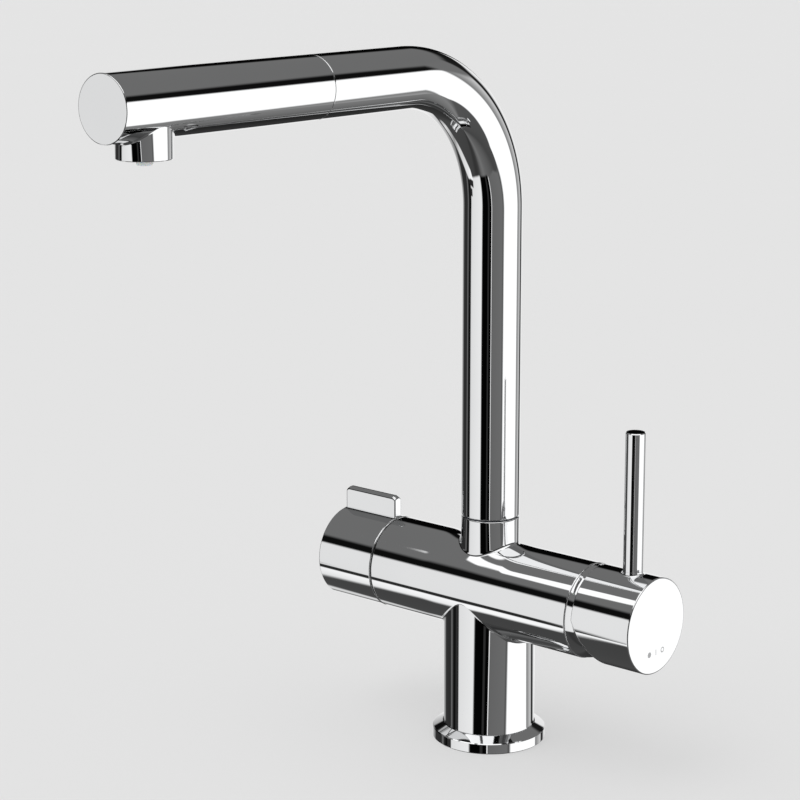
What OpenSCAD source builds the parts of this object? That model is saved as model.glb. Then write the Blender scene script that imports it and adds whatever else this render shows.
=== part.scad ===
// Kitchen mixer tap with a separate filtered water way: a cast body with a cross
// barrel, a lever handle over a ball cap, a quarter turn filter knob and a swivel spout.
// Millimetres, +Z up. The origin is on the worktop, under the swivel axis. The spout
// points to -Y, the mixer handle to +X and the filter knob to -X.

/* [Base] */
// Outer radius of the base ring
base_r = 27.35; // [25:0.05:32]
// Height of the base ring's rim
base_rim_h = 5.2; // [3.5:0.1:6.5]
// Height of the base ring where the column stands on it
base_top_h = 7.5; // [7:0.1:10]
// Radius of the body's foot inside the base ring
foot_r = 18.9; // [18:0.1:20]
// Width of the rubber seal under the base ring
seal_w = 3.8; // [2:0.1:4.5]
// Thickness of the rubber seal under the base ring
seal_t = 2; // [1:0.1:3]

/* [Body casting] */
// Radius of the upright column
column_r = 22.1; // [21:0.05:22.4]
// Radius of the cross barrel, its handle and its knob
barrel_r = 22.63; // [22.5:0.01:25]
// Height of the barrel's axis above the worktop
barrel_z = 76.45; // [66:0.05:95]
// Length of the barrel from the swivel axis to its mixer end
mixer_end = 61.5; // [59.5:0.1:70]
// Length of the barrel from the swivel axis to its filter end
filter_end = 57.2; // [52:0.1:66]
// Radius of the swivel collar and of the spout tube
tube_r = 14; // [13.6:0.1:16]
// Height of the collar's top above the barrel's axis
collar_h = 34.95; // [32:0.05:45]
// Radius of the cast fillet under the barrel
column_fillet = 2.5; // [1:0.1:4]
// Radius of the cast fillet round the collar
collar_fillet = 1.8; // [1:0.1:3]
// Chamfer on the turned ends of the barrel, the collar and the tube
edge_chamfer = 0.5; // [0.2:0.05:0.8]

/* [Water ways] */
// Radius of the circle on which the ports in the foot lie
port_pcd_r = 11.5; // [11:0.1:12.5]
// Wall radius of the threaded inlet ports, M10 x 1
port_r = 4.5; // [4:0.1:4.8]
// Depth of the threaded inlet ports
port_depth = 12; // [8:0.5:16]
// Wall radius of the hole for the fixing stud, M8
stud_r = 3.4; // [2.5:0.1:4]
// Depth of the hole for the fixing stud
stud_depth = 15; // [10:0.5:20]
// Radius of the hot, cold and filtered ways
way_r = 3; // [2:0.1:3.4]
// Distance from the barrel's axis up to the mixed water way
mixed_way_z = 9; // [8:0.1:10]
// Radius of the mixed water way
mixed_way_r = 3.4; // [2.5:0.1:3.6]
// Distance from the barrel's axis down to the hot and cold ways
inlet_way_z = 3; // [2:0.1:5]
// Radius of the filtered way from the valve chamber to the inner tube
side_way_r = 1.5; // [1:0.1:1.7]

/* [Cartridge] */
// Radius of the ceramic cartridge, 35 mm size
cart_r = 17.5; // [17:0.1:17.8]
// Distance from the swivel axis to the cartridge's seat
cart_seat = 27; // [24:0.1:30]
// Thickness of the cartridge's base
cart_base_t = 7; // [5:0.1:8]
// Thickness of each ceramic disc of the cartridge
disc_t = 3.5; // [2.5:0.1:4]
// Radius of the fixed ceramic disc
fixed_disc_r = 14.6; // [14.2:0.1:14.8]
// Radius of the moving ceramic disc
moving_disc_r = 11; // [10:0.1:11.2]
// Thickness of the carrier on the moving disc
carrier_t = 4.5; // [4.2:0.1:5.5]
// Radius of the rotor's neck
rotor_r = 12; // [11.5:0.1:12.4]
// Height of the cartridge's shoulder over its seat
cart_shoulder = 23.5; // [22.5:0.1:25]
// Width of the square lever
lever_w = 7.8; // [6:0.1:8]
// Radius of the lever's ball tip
tip_r = 2.8; // [2:0.1:3]
// Radius of the lever's pivot pin
pivot_pin_r = 1.75; // [1:0.05:2]
// Extra radius of the cartridge nut's thread over the cartridge
nut_extra = 1.9; // [1.4:0.1:2.2]
// Height of the cartridge nut's thread
nut_h = 6.5; // [4:0.1:7]

/* [Mixer handle] */
// Distance from the swivel axis to the handle's pivot, the centre of the ball cap
pivot_x = 58.8; // [58.2:0.1:61]
// How much smaller the ball cap's radius is than the barrel's
ball_inset = 0.24; // [0.1:0.02:0.6]
// Wall of the ball cap
ball_wall = 1.6; // [1:0.1:2]
// Radius of the hole in the ball cap for the lever
ball_hole_r = 13.6; // [13:0.1:14.5]
// Distance from the swivel axis to the handle's rear edge
handle_rear = 64.9; // [63.5:0.1:67]
// Distance from the swivel axis to the handle's flat end
handle_end = 97.1; // [92:0.1:110]
// Largest tilt of the handle, which is the slant of its relief cut
flow_angle = 25.5; // [20:0.5:27]
// Distance from the swivel axis to the lever rod's axis
rod_x = 83.45; // [83:0.05:88]
// Radius of the lever rod
rod_r = 4.64; // [4:0.01:6]
// Length of the lever rod over the handle's top
rod_l = 66.5; // [40:0.5:90]
// Radius of the blend at the lever rod's foot
rod_fillet = 0.9; // [0.4:0.1:1.5]

/* [Filter knob] */
// Length of the filter knob
knob_l = 33.9; // [28:0.1:42]
// Gap between the barrel and the filter knob
knob_gap = 0.5; // [0.3:0.05:1]
// Thickness of the knob's fin
fin_t = 5; // [3:0.1:8]
// Height of the knob's fin over the knob
fin_h = 11; // [5:0.1:16]
// Wall of the knob's hollow body
knob_wall = 3.5; // [2:0.1:5]
// Radius of the valve headwork's thread, half inch size
head_r = 10.4; // [10:0.05:10.8]
// Distance from the swivel axis to the valve's seat
head_seat = 27; // [25:0.1:28.5]
// Length of the headwork's nose, with its discs
nose_l = 10; // [10:0.1:11]
// Length of the headwork's thread
head_thread_l = 7.6; // [5:0.1:9]
// Radius of the valve's ceramic discs
valve_disc_r = 7.1; // [6.5:0.1:7.4]
// Thickness of each ceramic disc of the valve
valve_disc_t = 2.5; // [1.5:0.1:2.8]
// Radius of the valve's spindle
spindle_r = 4; // [3:0.1:5]

/* [Spout] */
// Height of the arm's centre line above the worktop
arm_z = 325.3; // [290:0.1:380]
// Centre line radius of the spout's elbow
elbow_r = 64.9; // [45:0.1:75]
// Distance from the swivel axis to the seam of the spout's end piece
seam_y = 124.2; // [100:0.1:160]
// Distance from the swivel axis to the nozzle's axis
outlet_y = 221; // [195:0.1:260]
// Length of the arm past the nozzle's axis
arm_over = 21.6; // [18:0.1:35]
// Wall of the spout tube
tube_wall = 1.5; // [1:0.1:1.8]
// Wall of the spout's end piece
end_wall = 2; // [1.5:0.1:2.4]
// Radius of the nozzle
nozzle_r = 11.57; // [11:0.01:12.5]
// Distance from the arm's centre line down to the nozzle's rim
nozzle_drop = 21.2; // [19.5:0.1:30]
// Radius of the blend between the nozzle and the arm
nozzle_fillet = 1.2; // [0.5:0.1:2]
// Wall of the nozzle round the aerator
nozzle_wall = 2.05; // [1.5:0.05:2.3]
// Length of the spigots that plug the tube at the foot and at the seam
plug_l = 11; // [8:0.5:16]

/* [Swivel] */
// Wall of the collar round the swivel bore
collar_wall = 3; // [2.7:0.1:3.4]
// Gap between the collar's top and the spout tube, filled by the glide ring
swivel_gap = 0.6; // [0.4:0.05:1]
// Length of the swivel spigot in the collar
spigot_l = 23; // [21:0.5:24]
// Wall of the swivel spigot
spigot_wall = 2.9; // [2.7:0.1:3.5]
// Height of each O-ring of the swivel
oring_t = 2.2; // [1.5:0.1:2.6]
// Depth of the grooves for the swivel's O-rings
oring_depth = 1.7; // [1:0.1:1.8]

/* [Filtered outlet] */
// Outer radius of the inner water tube
inner_r = 2.5; // [2.2:0.1:3.2]
// Wall of the inner water tube
inner_wall = 0.7; // [0.5:0.1:1]
// Centre line radius of the inner tube's last bend
inner_bend_r = 9; // [6:0.5:10]
// Wall of the silicone outlet round the inner tube
outlet_wall = 0.7; // [0.5:0.1:1]
// Length of the silicone outlet that shows under the nozzle
outlet_show = 2.5; // [1:0.1:5]
// Height of the aerator
aerator_h = 8; // [6.5:0.1:9]
// Wall of the aerator's housing
aerator_wall = 1.1; // [0.6:0.1:1.2]
// Thickness of the aerator's screen
screen_t = 0.8; // [0.5:0.1:1.2]
// Depth of the aerator behind the nozzle's rim
aerator_recess = 1.2; // [0.5:0.1:2]

/* [Clearances] */
// Radial clearance of a shaft that turns in its bore
run_gap = 0.08; // [0.04:0.01:0.1]
// Gap between pieces that move past each other
move_gap = 0.3; // [0.2:0.05:0.4]
// Gap round a piece that is fixed in its seat
seat_gap = 0.1; // [0.05:0.01:0.15]

/* [Hidden] */
$fn = 64;

chrome = [0.78, 0.79, 0.8];
brass = [0.8, 0.66, 0.35];
steel = [0.62, 0.63, 0.65];
rubber = [0.12, 0.12, 0.13];
nylon = [0.9, 0.9, 0.86];
acetal = [0.2, 0.22, 0.25];
alumina = [0.93, 0.9, 0.84];
silicone = [0.9, 0.92, 0.93];

// How far a cutting shape runs past the face that it cuts
over = 1;
// How far a fillet strip sinks under the surfaces that it joins
sink = 0.05;
// Depth to which a fillet strip's root reaches into the casting
root = 1;

// Base ring and its seal
base_chamfer = 0.4;
cone_lip = 0.4;
seal_r = (foot_r + base_r) / 2;
ring_bore_r = foot_r + seat_gap;

// Heights and ways of the casting
collar_top = barrel_z + collar_h;
swivel_drop = 0.6;
swivel_floor = barrel_z + mixed_way_z - mixed_way_r - swivel_drop;
socket_drop = 2;
socket_floor = barrel_z - side_way_r - socket_drop;
port_turn = 60;
hot_y = port_pcd_r * sin(port_turn);
hot_x = port_pcd_r * cos(port_turn);

// Cartridge, from its seat outward
cart_seal_t = 1.2;
cart_seal_w = 1;
cart_bore_r = cart_r + seat_gap;
nut_r = cart_r + nut_extra;
nut_bore_r = nut_r + seat_gap;
nut_hex_w = 2.8;
nut_hex_h = 2.4;
nut_relief = 0.3;
cavity_gap = 0.6;
cavity_r = fixed_disc_r + cavity_gap;
base_top = cart_seat + cart_base_t;
fixed_top = base_top + disc_t;
moving_x = fixed_top + seat_gap;
moving_top = moving_x + disc_t;
carrier_top = moving_top + carrier_t;
shoulder_x = cart_seat + cart_shoulder;
roof_t = 1.2;
housing_roof = shoulder_x - roof_t;
rotor_foot = carrier_top + move_gap;
neck_bore_r = rotor_r + run_gap;
neck_wall = 2;
neck_r = neck_bore_r + neck_wall;
neck_over = 1.4;
neck_end = pivot_x + neck_over;
rotor_over = 1;
rotor_end = neck_end + rotor_over;

// The pocket in the moving disc joins the ways when it slides over them
pocket_rim = 4;
pocket_depth = 1.6;
pocket_lift = 1;
hole_margin = 0.4;

// The lever's ball tip just clears the floor of the carrier's slot
slot_web = 0.8;
slot_floor = moving_top + slot_web;
tip_x = slot_floor + move_gap + tip_r;
tip_arm = pivot_x - tip_x;
// The disc's travel is the tip's arc, and it starts half of it below the axis
disc_travel = tip_arm * sin(flow_angle);
disc_z = -disc_travel / 2;
carrier_flat = 9;
lever_cover = 7;
lever_end = handle_end - lever_cover;
eye_wall = 1;
tip_neck = 0.6;
pin_inset = 0.8;

// Rails and slot of the rotor
rail_t = 2.4;
rail_l = 10;
rail_lift = 0.5;
rail_gap = carrier_flat + 0.2;
slot_room = 0.6;
slot_rim = 1.5;

// Both grub screws
grub_r = 2.5;
grub_hex_r = 1.4;
grub_hex_l = 2.5;
grub_x = (pivot_x + barrel_r - ball_inset + lever_end) / 2;
handle_grub_l = 10;
knob_grub_l = 5;

// Ball cap and the handle's hollow round it
ball_r = barrel_r - ball_inset;
ball_inner_r = ball_r - ball_wall;
ball_gap = 0.35;
cavity_ball_r = ball_r + ball_gap;
skirt_r = nut_r - seat_gap;
skirt_wall = 1.2;
skirt_play = 0.3;
cap_floor_t = 1.4;

// Lever rod, screwed on the short stub that is part of the handle
handle_top = barrel_z + barrel_r;
rod_stub = 0.4;
rod_foot_z = handle_top + rod_fillet + rod_stub;
rod_top = handle_top + rod_l;
rod_shoulder = 1.7;
rod_stud_r = rod_r - rod_shoulder;
rod_stud_l = 8.5;
rod_chamfer = 0.4;

// Filter side, from the valve's seat outward
knob_start = filter_end + knob_gap;
knob_end = knob_start + knob_l;
nose_lift = 1.4;
nose_x = head_seat + nose_lift;
head_thread_start = nose_x + nose_l;
head_flange = head_thread_start + head_thread_l;
head_flange_t = 5;
head_hex_r = head_r + 2.2;
head_neck_gap = 1.2;
head_neck_end = filter_end - head_neck_gap;
head_neck_wall = 3;
thread_step = 1;
nose_r = head_r - thread_step;
nose_bore_r = valve_disc_r + seat_gap;
side_way_y = nose_r - 2 * seat_gap;
wrench_room = 3.4;
valve_recess_r = head_hex_r + wrench_room;
window_r = 1.4;
window_x = head_thread_start - window_r - 0.2;
valve_seal_t = 2.4;
valve_seal_w = 2.2;
valve_seal_top = head_seat + valve_seal_t;
valve_fixed_top = valve_seal_top + valve_disc_t;
valve_moving_x = valve_fixed_top + seat_gap;
valve_moving_top = valve_moving_x + valve_disc_t;
valve_play = 0.2;
quadrant_rim = 1.8;
quadrant_hub = 1.4;
quadrant_turn = 70;
roof_run = 1.2;
nose_roof = head_thread_start + roof_run;
spindle_grip = 9;
spindle_end = knob_start + spindle_grip;
spindle_slot_w = 3.6;
spindle_slot_y = spindle_r + 1.2;
spindle_web = 0.8;
knob_grub_x = knob_start + 5;
hub_wall = 4;
hub_r = spindle_r + hub_wall;
hub_recess = 0.5;

// Swivel, from the spigot's foot upward
swivel_r = tube_r - collar_wall;
tube_bore_r = tube_r - tube_wall;
tube_foot = collar_top + swivel_gap;
plug_r = tube_bore_r - seat_gap;
plug_chamfer = 0.6;
spigot_r = swivel_r - run_gap;
spigot_bore_r = spigot_r - spigot_wall;
spigot_foot = collar_top - spigot_l;
groove_r = spigot_r - oring_depth;
groove_play = 0.2;
groove_t = oring_t + 2 * groove_play;
oring_lead = 6;
oring_step = 3.5;
oring_heights = [
    collar_top - oring_lead - groove_t,
    collar_top - oring_lead - oring_step - 2 * groove_t
];
snap_lift = 3;
snap_z = spigot_foot + snap_lift;
snap_t = 1.2;
snap_bite = 0.6;
snap_r = swivel_r + snap_bite;
snap_groove_r = groove_r + 0.5;
snap_play = 0.3;
snap_split = 3;
glide_inset = 0.3;

// Arm, seam and nozzle of the spout
arm_end = outlet_y + arm_over;
seam_chamfer = 0.25;
end_bore_r = tube_r - end_wall;
end_cap_t = 4;
plug_wall = 2.2;
end_plug_bore_r = plug_r - plug_wall;
seam_ring_t = 1.8;
seam_groove_d = 1.3;
seam_groove_r = plug_r - seam_groove_d;
seam_ring_y = seam_y - (plug_l + seam_ring_t) / 2;
riser_end = arm_z - elbow_r;
nozzle_chamfer = 0.3;
nozzle_rim = arm_z - nozzle_drop;
nozzle_bore_r = nozzle_r - nozzle_wall;

// Aerator, from the nozzle's rim upward
aerator_r = nozzle_bore_r - seat_gap;
aerator_foot = nozzle_rim + aerator_recess;
aerator_top = aerator_foot + aerator_h;
aerator_seal_t = 1.2;
aerator_seal_w = 1.8;
nozzle_step = aerator_top + aerator_seal_t;
throat_step = 2.2;
throat_r = aerator_r - throat_step;
lip_t = 1;
lip_w = 0.5;
spoke_t = 1;
screen_hole_r = 0.45;

// Inner water tube and its outlet
outlet_r = inner_r + seat_gap + outlet_wall;
outlet_foot = nozzle_rim - outlet_show;
outlet_top = aerator_top + 1;
outlet_chamfer = 0.4;
inner_lift = 3;
inner_foot = socket_floor + inner_lift;
inner_cover = 3.5;
inner_end = nozzle_rim + inner_cover;
inner_bore_r = inner_r - inner_wall;
inner_ring_w = 2;
inner_ring_t = 1.8;
socket_r = inner_r + run_gap;

// Places a shape drawn along +Z so that it lies along +X from the given distance
module along_x(x) {
    translate([x, 0, barrel_z]) rotate([0, 90, 0]) children();
}

// Places a shape drawn along +Z so that it lies along -X from the given distance
module along_minus_x(x) {
    translate([-x, 0, barrel_z]) rotate([0, -90, 0]) children();
}

// Places a shape drawn along +Z so that it lies along the arm, from the given distance
module along_arm(y) {
    translate([0, -y, arm_z]) rotate([90, 0, 0]) children();
}

// A turned bar with a chamfer at its foot and at its top
module turned_bar(r, h, foot_cut, top_cut) {
    rotate_extrude()
        polygon([
            [0, 0], [r - foot_cut, 0], [r, foot_cut],
            [r, h - top_cut], [r - top_cut, h], [0, h]
        ]);
}

// A turned ring with square edges
module ring(outer, inner, h) {
    difference() {
        cylinder(r = outer, h = h);
        translate([0, 0, -over]) cylinder(r = inner, h = h + 2 * over);
    }
}

// The points of one cut through a rolling ball fillet, where a branch along Z
// leaves a run along X. The ball touches both, and the last point is inside both.
function fillet_cut(a, branch, run, ball, steps) =
    let (
        y = (branch + ball) * sin(a),
        centre = [(branch + ball) * cos(a), y, sqrt(pow(run + ball, 2) - y * y)],
        to_branch = [-cos(a), -sin(a), 0],
        to_run = -[0, centre[1], centre[2]] / (run + ball),
        turn = acos(to_branch * to_run),
        root_r = branch - root,
        root_y = root_r * sin(a)
    )
    concat(
        [for (i = [0 : steps])
            let (
                t = i / steps,
                reach = (i == 0 || i == steps) ? ball + sink : ball,
                side = (sin((1 - t) * turn) * to_branch + sin(t * turn) * to_run) / sin(turn)
            )
            centre + reach * side],
        [[root_r * cos(a), root_y, sqrt(run * run - root_y * root_y) - root]]
    );

// The solid strip of a rolling ball fillet round the foot of a branch
module saddle_fillet(branch, run, ball) {
    cuts = 60;
    steps = 5;
    row = steps + 2;
    points = [for (k = [0 : cuts - 1]) each fillet_cut(360 * k / cuts, branch, run, ball, steps)];
    faces = [for (k = [0 : cuts - 1], i = [0 : row - 1])
        let (
            next = (k + 1) % cuts,
            j = (i + 1) % row,
            a = k * row + i,
            b = k * row + j,
            c = next * row + j,
            d = next * row + i
        )
        each [[a, b, c], [a, c, d]]];
    polyhedron(points, faces);
}

// The outside of the casting: foot, column, barrel and collar with their fillets
module casting() {
    cylinder(r = foot_r, h = base_top_h + over);
    translate([0, 0, base_top_h]) cylinder(r = column_r, h = barrel_z - base_top_h);
    translate([-filter_end, 0, barrel_z]) rotate([0, 90, 0])
        turned_bar(barrel_r, filter_end + mixer_end, edge_chamfer, edge_chamfer);
    translate([0, 0, barrel_z]) turned_bar(tube_r, collar_h, 0, edge_chamfer);
    translate([0, 0, barrel_z]) mirror([0, 0, 1])
        saddle_fillet(column_r, barrel_r, column_fillet);
    translate([0, 0, barrel_z]) saddle_fillet(tube_r, barrel_r, collar_fillet);
}

// The ports in the foot and the ways that lead from them to both valves
module inlet_ways() {
    for (side = [-1, 1]) {
        translate([hot_x, side * hot_y, -over]) cylinder(r = port_r, h = port_depth + over);
        translate([hot_x, side * hot_y, 0]) cylinder(r = way_r, h = barrel_z - inlet_way_z);
        translate([hot_x, side * hot_y, barrel_z - inlet_way_z]) rotate([0, 90, 0])
            cylinder(r = way_r, h = cart_seat - hot_x + over);
    }
    translate([-port_pcd_r, 0, -over]) cylinder(r = port_r, h = port_depth + over);
    translate([-port_pcd_r, 0, 0]) cylinder(r = way_r, h = barrel_z);
    along_minus_x(port_pcd_r) cylinder(r = way_r, h = head_seat - port_pcd_r + over);
    translate([port_pcd_r, 0, -over]) cylinder(r = stud_r, h = stud_depth + over);
}

// The ways that lead from both valves to the swivel and to the inner tube
module outlet_ways() {
    translate([0, 0, barrel_z + mixed_way_z]) rotate([0, 90, 0])
        cylinder(r = mixed_way_r, h = cart_seat + over);
    translate([-side_way_r, side_way_y, barrel_z]) rotate([0, -90, 0])
        cylinder(r = side_way_r, h = head_seat - side_way_r + over);
    translate([-side_way_r, 0, barrel_z]) rotate([-90, 0, 0])
        cylinder(r = side_way_r, h = nose_r);
}

// The bores that hold the cartridge, the valve headwork and the swivel spigot
module body_bores() {
    along_x(cart_seat) cylinder(r = cart_bore_r, h = mixer_end - cart_seat + over);
    along_x(shoulder_x - nut_relief) cylinder(r = nut_bore_r, h = mixer_end - shoulder_x + over);
    along_minus_x(head_seat) cylinder(r = head_r + seat_gap, h = filter_end - head_seat + over);
    along_minus_x(head_flange) cylinder(r = valve_recess_r, h = filter_end - head_flange + over);
    translate([0, 0, swivel_floor]) cylinder(r = swivel_r, h = collar_top - swivel_floor + over);
    translate([0, 0, snap_z]) cylinder(r = snap_r + snap_play, h = snap_t + 2 * groove_play);
    translate([0, 0, socket_floor]) cylinder(r = socket_r, h = swivel_floor - socket_floor + over);
}

module tap_body() {
    color(chrome) difference() {
        casting();
        inlet_ways();
        outlet_ways();
        body_bores();
    }
}

// The base ring is turned, with a conical top and a groove for its seal below
module base_ring() {
    color(chrome) difference() {
        rotate_extrude()
            polygon([
                [ring_bore_r, 0], [base_r - base_chamfer, 0], [base_r, base_chamfer],
                [base_r, base_rim_h - base_chamfer],
                [base_r - base_chamfer, base_rim_h],
                [column_r + cone_lip, base_top_h], [ring_bore_r, base_top_h]
            ]);
        translate([0, 0, -over])
            ring(seal_r + seal_w / 2 + seat_gap, seal_r - seal_w / 2 - seat_gap, seal_t + over);
    }
}

module base_seal() {
    color(rubber) ring(seal_r + seal_w / 2, seal_r - seal_w / 2, seal_t);
}

// The three holes through the cartridge's base and fixed disc, in the cartridge's frame:
// drawn along +Z, with the row's up on the shape's -X
module cartridge_holes(h, extra) {
    for (side = [-1, 1])
        translate([inlet_way_z, side * hot_y, 0]) cylinder(r = way_r + extra, h = h);
    translate([-mixed_way_z, 0, 0]) cylinder(r = mixed_way_r + extra, h = h);
}

module cartridge_base() {
    color(nylon) along_x(cart_seat) difference() {
        cylinder(r = cart_r, h = cart_base_t);
        translate([0, 0, -over]) cartridge_holes(cart_base_t + 2 * over, 0);
        translate([0, 0, -over]) cartridge_holes(over + cart_seal_t, cart_seal_w);
    }
}

// One rubber ring round each hole, in the pockets under the cartridge's base
module cartridge_seals() {
    color(rubber) along_x(cart_seat) difference() {
        cartridge_holes(cart_seal_t, cart_seal_w - seat_gap);
        translate([0, 0, -over]) cartridge_holes(cart_seal_t + 2 * over, 0);
    }
}

module fixed_disc() {
    color(alumina) along_x(base_top) difference() {
        cylinder(r = fixed_disc_r, h = disc_t);
        translate([0, 0, -over]) cartridge_holes(disc_t + 2 * over, -hole_margin);
    }
}

module moving_disc() {
    color(alumina) along_x(moving_x) translate([-disc_z, 0, 0]) difference() {
        cylinder(r = moving_disc_r, h = disc_t);
        translate([-pocket_lift, 0, -over])
            cylinder(r = moving_disc_r - pocket_rim, h = over + pocket_depth);
    }
}

module disc_carrier() {
    color(acetal) along_x(moving_top) difference() {
        intersection() {
            translate([-disc_z, 0, 0]) cylinder(r = moving_disc_r, h = carrier_t);
            translate([-2 * moving_disc_r, -carrier_flat, 0])
                cube([4 * moving_disc_r, 2 * carrier_flat, carrier_t]);
        }
        slot = tip_r + move_gap + seat_gap;
        translate([-slot, -slot, slot_floor - moving_top]) cube([2 * slot, 2 * slot, carrier_t]);
    }
}

module cartridge_housing() {
    color(nylon) difference() {
        union() {
            along_x(base_top) cylinder(r = cart_r, h = shoulder_x - base_top);
            along_x(base_top) cylinder(r = neck_r, h = neck_end - base_top);
        }
        along_x(base_top - over) cylinder(r = cavity_r, h = housing_roof - base_top + over);
        along_x(base_top) cylinder(r = neck_bore_r, h = neck_end - base_top + over);
    }
}

// The rotor turns with the handle. Two rails below its flange guide the carrier.
module cartridge_rotor() {
    flange_t = housing_roof - move_gap - rotor_foot;
    slot_w = lever_w + slot_room;
    color(acetal) difference() {
        union() {
            along_x(rotor_foot) cylinder(r = cavity_r - run_gap, h = flange_t);
            along_x(rotor_foot) cylinder(r = rotor_r, h = rotor_end - rotor_foot);
            along_x(moving_top + rail_lift) intersection() {
                cylinder(r = cavity_r - run_gap, h = carrier_t + move_gap);
                for (side = [-1, 1])
                    translate([-rail_l / 2, side > 0 ? rail_gap : -rail_gap - rail_t, 0])
                        cube([rail_l, rail_t, carrier_t + move_gap]);
            }
        }
        along_x(rotor_foot - over) translate([slot_rim - rotor_r, -slot_w / 2, 0])
            cube([2 * (rotor_r - slot_rim), slot_w, rotor_end - rotor_foot + 2 * over]);
        translate([pivot_x, 0, barrel_z]) rotate([90, 0, 0])
            cylinder(r = pivot_pin_r + seat_gap, h = 3 * rotor_r, center = true);
    }
}

// The lever turns on a pin across the rotor. Its ball tip sits in the carrier's slot.
module cartridge_lever() {
    eye_r = lever_w / 2 + eye_wall;
    color(steel) difference() {
        union() {
            along_x(pivot_x) translate([-lever_w / 2, -lever_w / 2, 0])
                cube([lever_w, lever_w, lever_end - pivot_x]);
            translate([pivot_x, 0, barrel_z]) rotate([90, 0, 0])
                cylinder(r = eye_r, h = lever_w, center = true);
            along_x(tip_x) cylinder(r = tip_r - tip_neck, h = tip_arm);
            translate([tip_x, 0, barrel_z]) sphere(r = tip_r);
        }
        translate([pivot_x, 0, barrel_z]) rotate([90, 0, 0])
            cylinder(r = pivot_pin_r + run_gap, h = 2 * lever_w, center = true);
    }
}

module lever_pivot_pin() {
    pin_l = 2 * (rotor_r - pin_inset);
    color(steel) translate([pivot_x, 0, barrel_z]) rotate([90, 0, 0])
        cylinder(r = pivot_pin_r, h = pin_l, center = true);
}

// The nut screws into the barrel's end and clamps the cartridge by its shoulder
module cartridge_nut() {
    color(brass) along_x(shoulder_x) difference() {
        union() {
            cylinder(r = nut_r, h = nut_h);
            cylinder(r = neck_r + nut_hex_w, h = nut_h + nut_hex_h, $fn = 6);
        }
        translate([0, 0, -over]) cylinder(r = neck_r + seat_gap, h = nut_h + nut_hex_h + 2 * over);
    }
}

// The ball cap is a spherical shell round the handle's pivot, on a threaded skirt
module ball_cap() {
    skirt_start = shoulder_x + nut_h + skirt_play - pivot_x;
    skirt_bore_r = skirt_r - skirt_wall;
    rim = mixer_end - pivot_x;
    floor_top = rim + cap_floor_t;
    color(chrome) along_x(pivot_x) rotate_extrude() difference() {
        union() {
            intersection() {
                circle(r = ball_r);
                translate([ball_hole_r, rim]) square([ball_r, ball_r]);
            }
            translate([skirt_bore_r, skirt_start])
                square([skirt_wall, rim - skirt_start + cap_floor_t / 2]);
        }
        intersection() {
            circle(r = ball_inner_r);
            translate([0, floor_top]) square([ball_r, ball_r]);
        }
        translate([0, rim - over]) square([skirt_bore_r, floor_top - rim + over + sink]);
    }
}

// The handle's outline seen along Y: square behind its upper half, with a slanted
// relief below, so that it can tilt until the slanted face stands upright
module handle_outline() {
    rear = handle_rear - pivot_x;
    knee = rear * tan(flow_angle / 2);
    drop = barrel_r + over;
    side = barrel_r + over;
    polygon([
        [rear, side], [rear, knee],
        [rear + (knee + drop) * tan(flow_angle), -drop],
        [handle_end - pivot_x + over, -drop],
        [handle_end - pivot_x + over, side]
    ]);
}

module mixer_handle() {
    socket = lever_w + 2 * seat_gap;
    color(chrome) difference() {
        union() {
            intersection() {
                along_x(pivot_x) turned_bar(barrel_r, handle_end - pivot_x, 0, edge_chamfer);
                translate([pivot_x, 0, barrel_z]) rotate([90, 0, 0])
                    linear_extrude(height = 3 * barrel_r, center = true) handle_outline();
            }
            translate([rod_x, 0, barrel_z]) cylinder(r = rod_r, h = rod_foot_z - barrel_z);
            translate([rod_x, 0, barrel_z]) saddle_fillet(rod_r, barrel_r, rod_fillet);
        }
        translate([pivot_x, 0, barrel_z]) sphere(r = cavity_ball_r);
        along_x(pivot_x) translate([-socket / 2, -socket / 2, 0])
            cube([socket, socket, lever_end - pivot_x + 2 * seat_gap]);
        translate([rod_x, 0, rod_foot_z - rod_stud_l - move_gap])
            cylinder(r = rod_stud_r + seat_gap, h = rod_stud_l + move_gap + over);
        translate([grub_x, 0, barrel_z - barrel_r - over])
            cylinder(r = grub_r, h = barrel_r + over);
    }
}

// A grub screw whose top is at the origin, with a hexagon socket below
module grub_screw(l) {
    color(steel) translate([0, 0, -l]) difference() {
        cylinder(r = grub_r - seat_gap, h = l);
        translate([0, 0, -over]) cylinder(r = grub_hex_r, h = grub_hex_l + over, $fn = 6);
    }
}

// A grub screw under the handle presses on the lever
module handle_grub_screw() {
    translate([grub_x, 0, barrel_z - lever_w / 2]) grub_screw(handle_grub_l);
}

module lever_rod() {
    color(chrome) {
        translate([rod_x, 0, rod_foot_z])
            turned_bar(rod_r, rod_top - rod_foot_z, 0, rod_chamfer);
        translate([rod_x, 0, rod_foot_z - rod_stud_l]) cylinder(r = rod_stud_r, h = rod_stud_l + over);
    }
}

// The headwork screws into the filter end and holds a pair of ceramic discs
module headwork_body() {
    color(brass) difference() {
        union() {
            along_minus_x(nose_x) cylinder(r = nose_r, h = head_flange - nose_x);
            along_minus_x(head_thread_start) cylinder(r = head_r, h = head_thread_l);
            along_minus_x(head_flange) cylinder(r = head_hex_r, h = head_flange_t, $fn = 6);
            along_minus_x(head_flange)
                cylinder(r = spindle_r + head_neck_wall, h = head_neck_end - head_flange);
        }
        along_minus_x(nose_x - over) cylinder(r = nose_bore_r, h = nose_roof - nose_x + over);
        along_minus_x(nose_roof - over)
            cylinder(r = spindle_r + run_gap, h = head_neck_end - nose_roof + 2 * over);
        for (turn = [45 : 90 : 315])
            along_minus_x(window_x) rotate([0, 90, turn])
                cylinder(r = window_r, h = nose_r + over);
    }
}

// A rubber ring between the headwork's nose and the seat in the casting
module headwork_seal() {
    color(rubber) along_minus_x(head_seat)
        ring(valve_disc_r, valve_disc_r - valve_seal_w, valve_seal_t);
}

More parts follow.
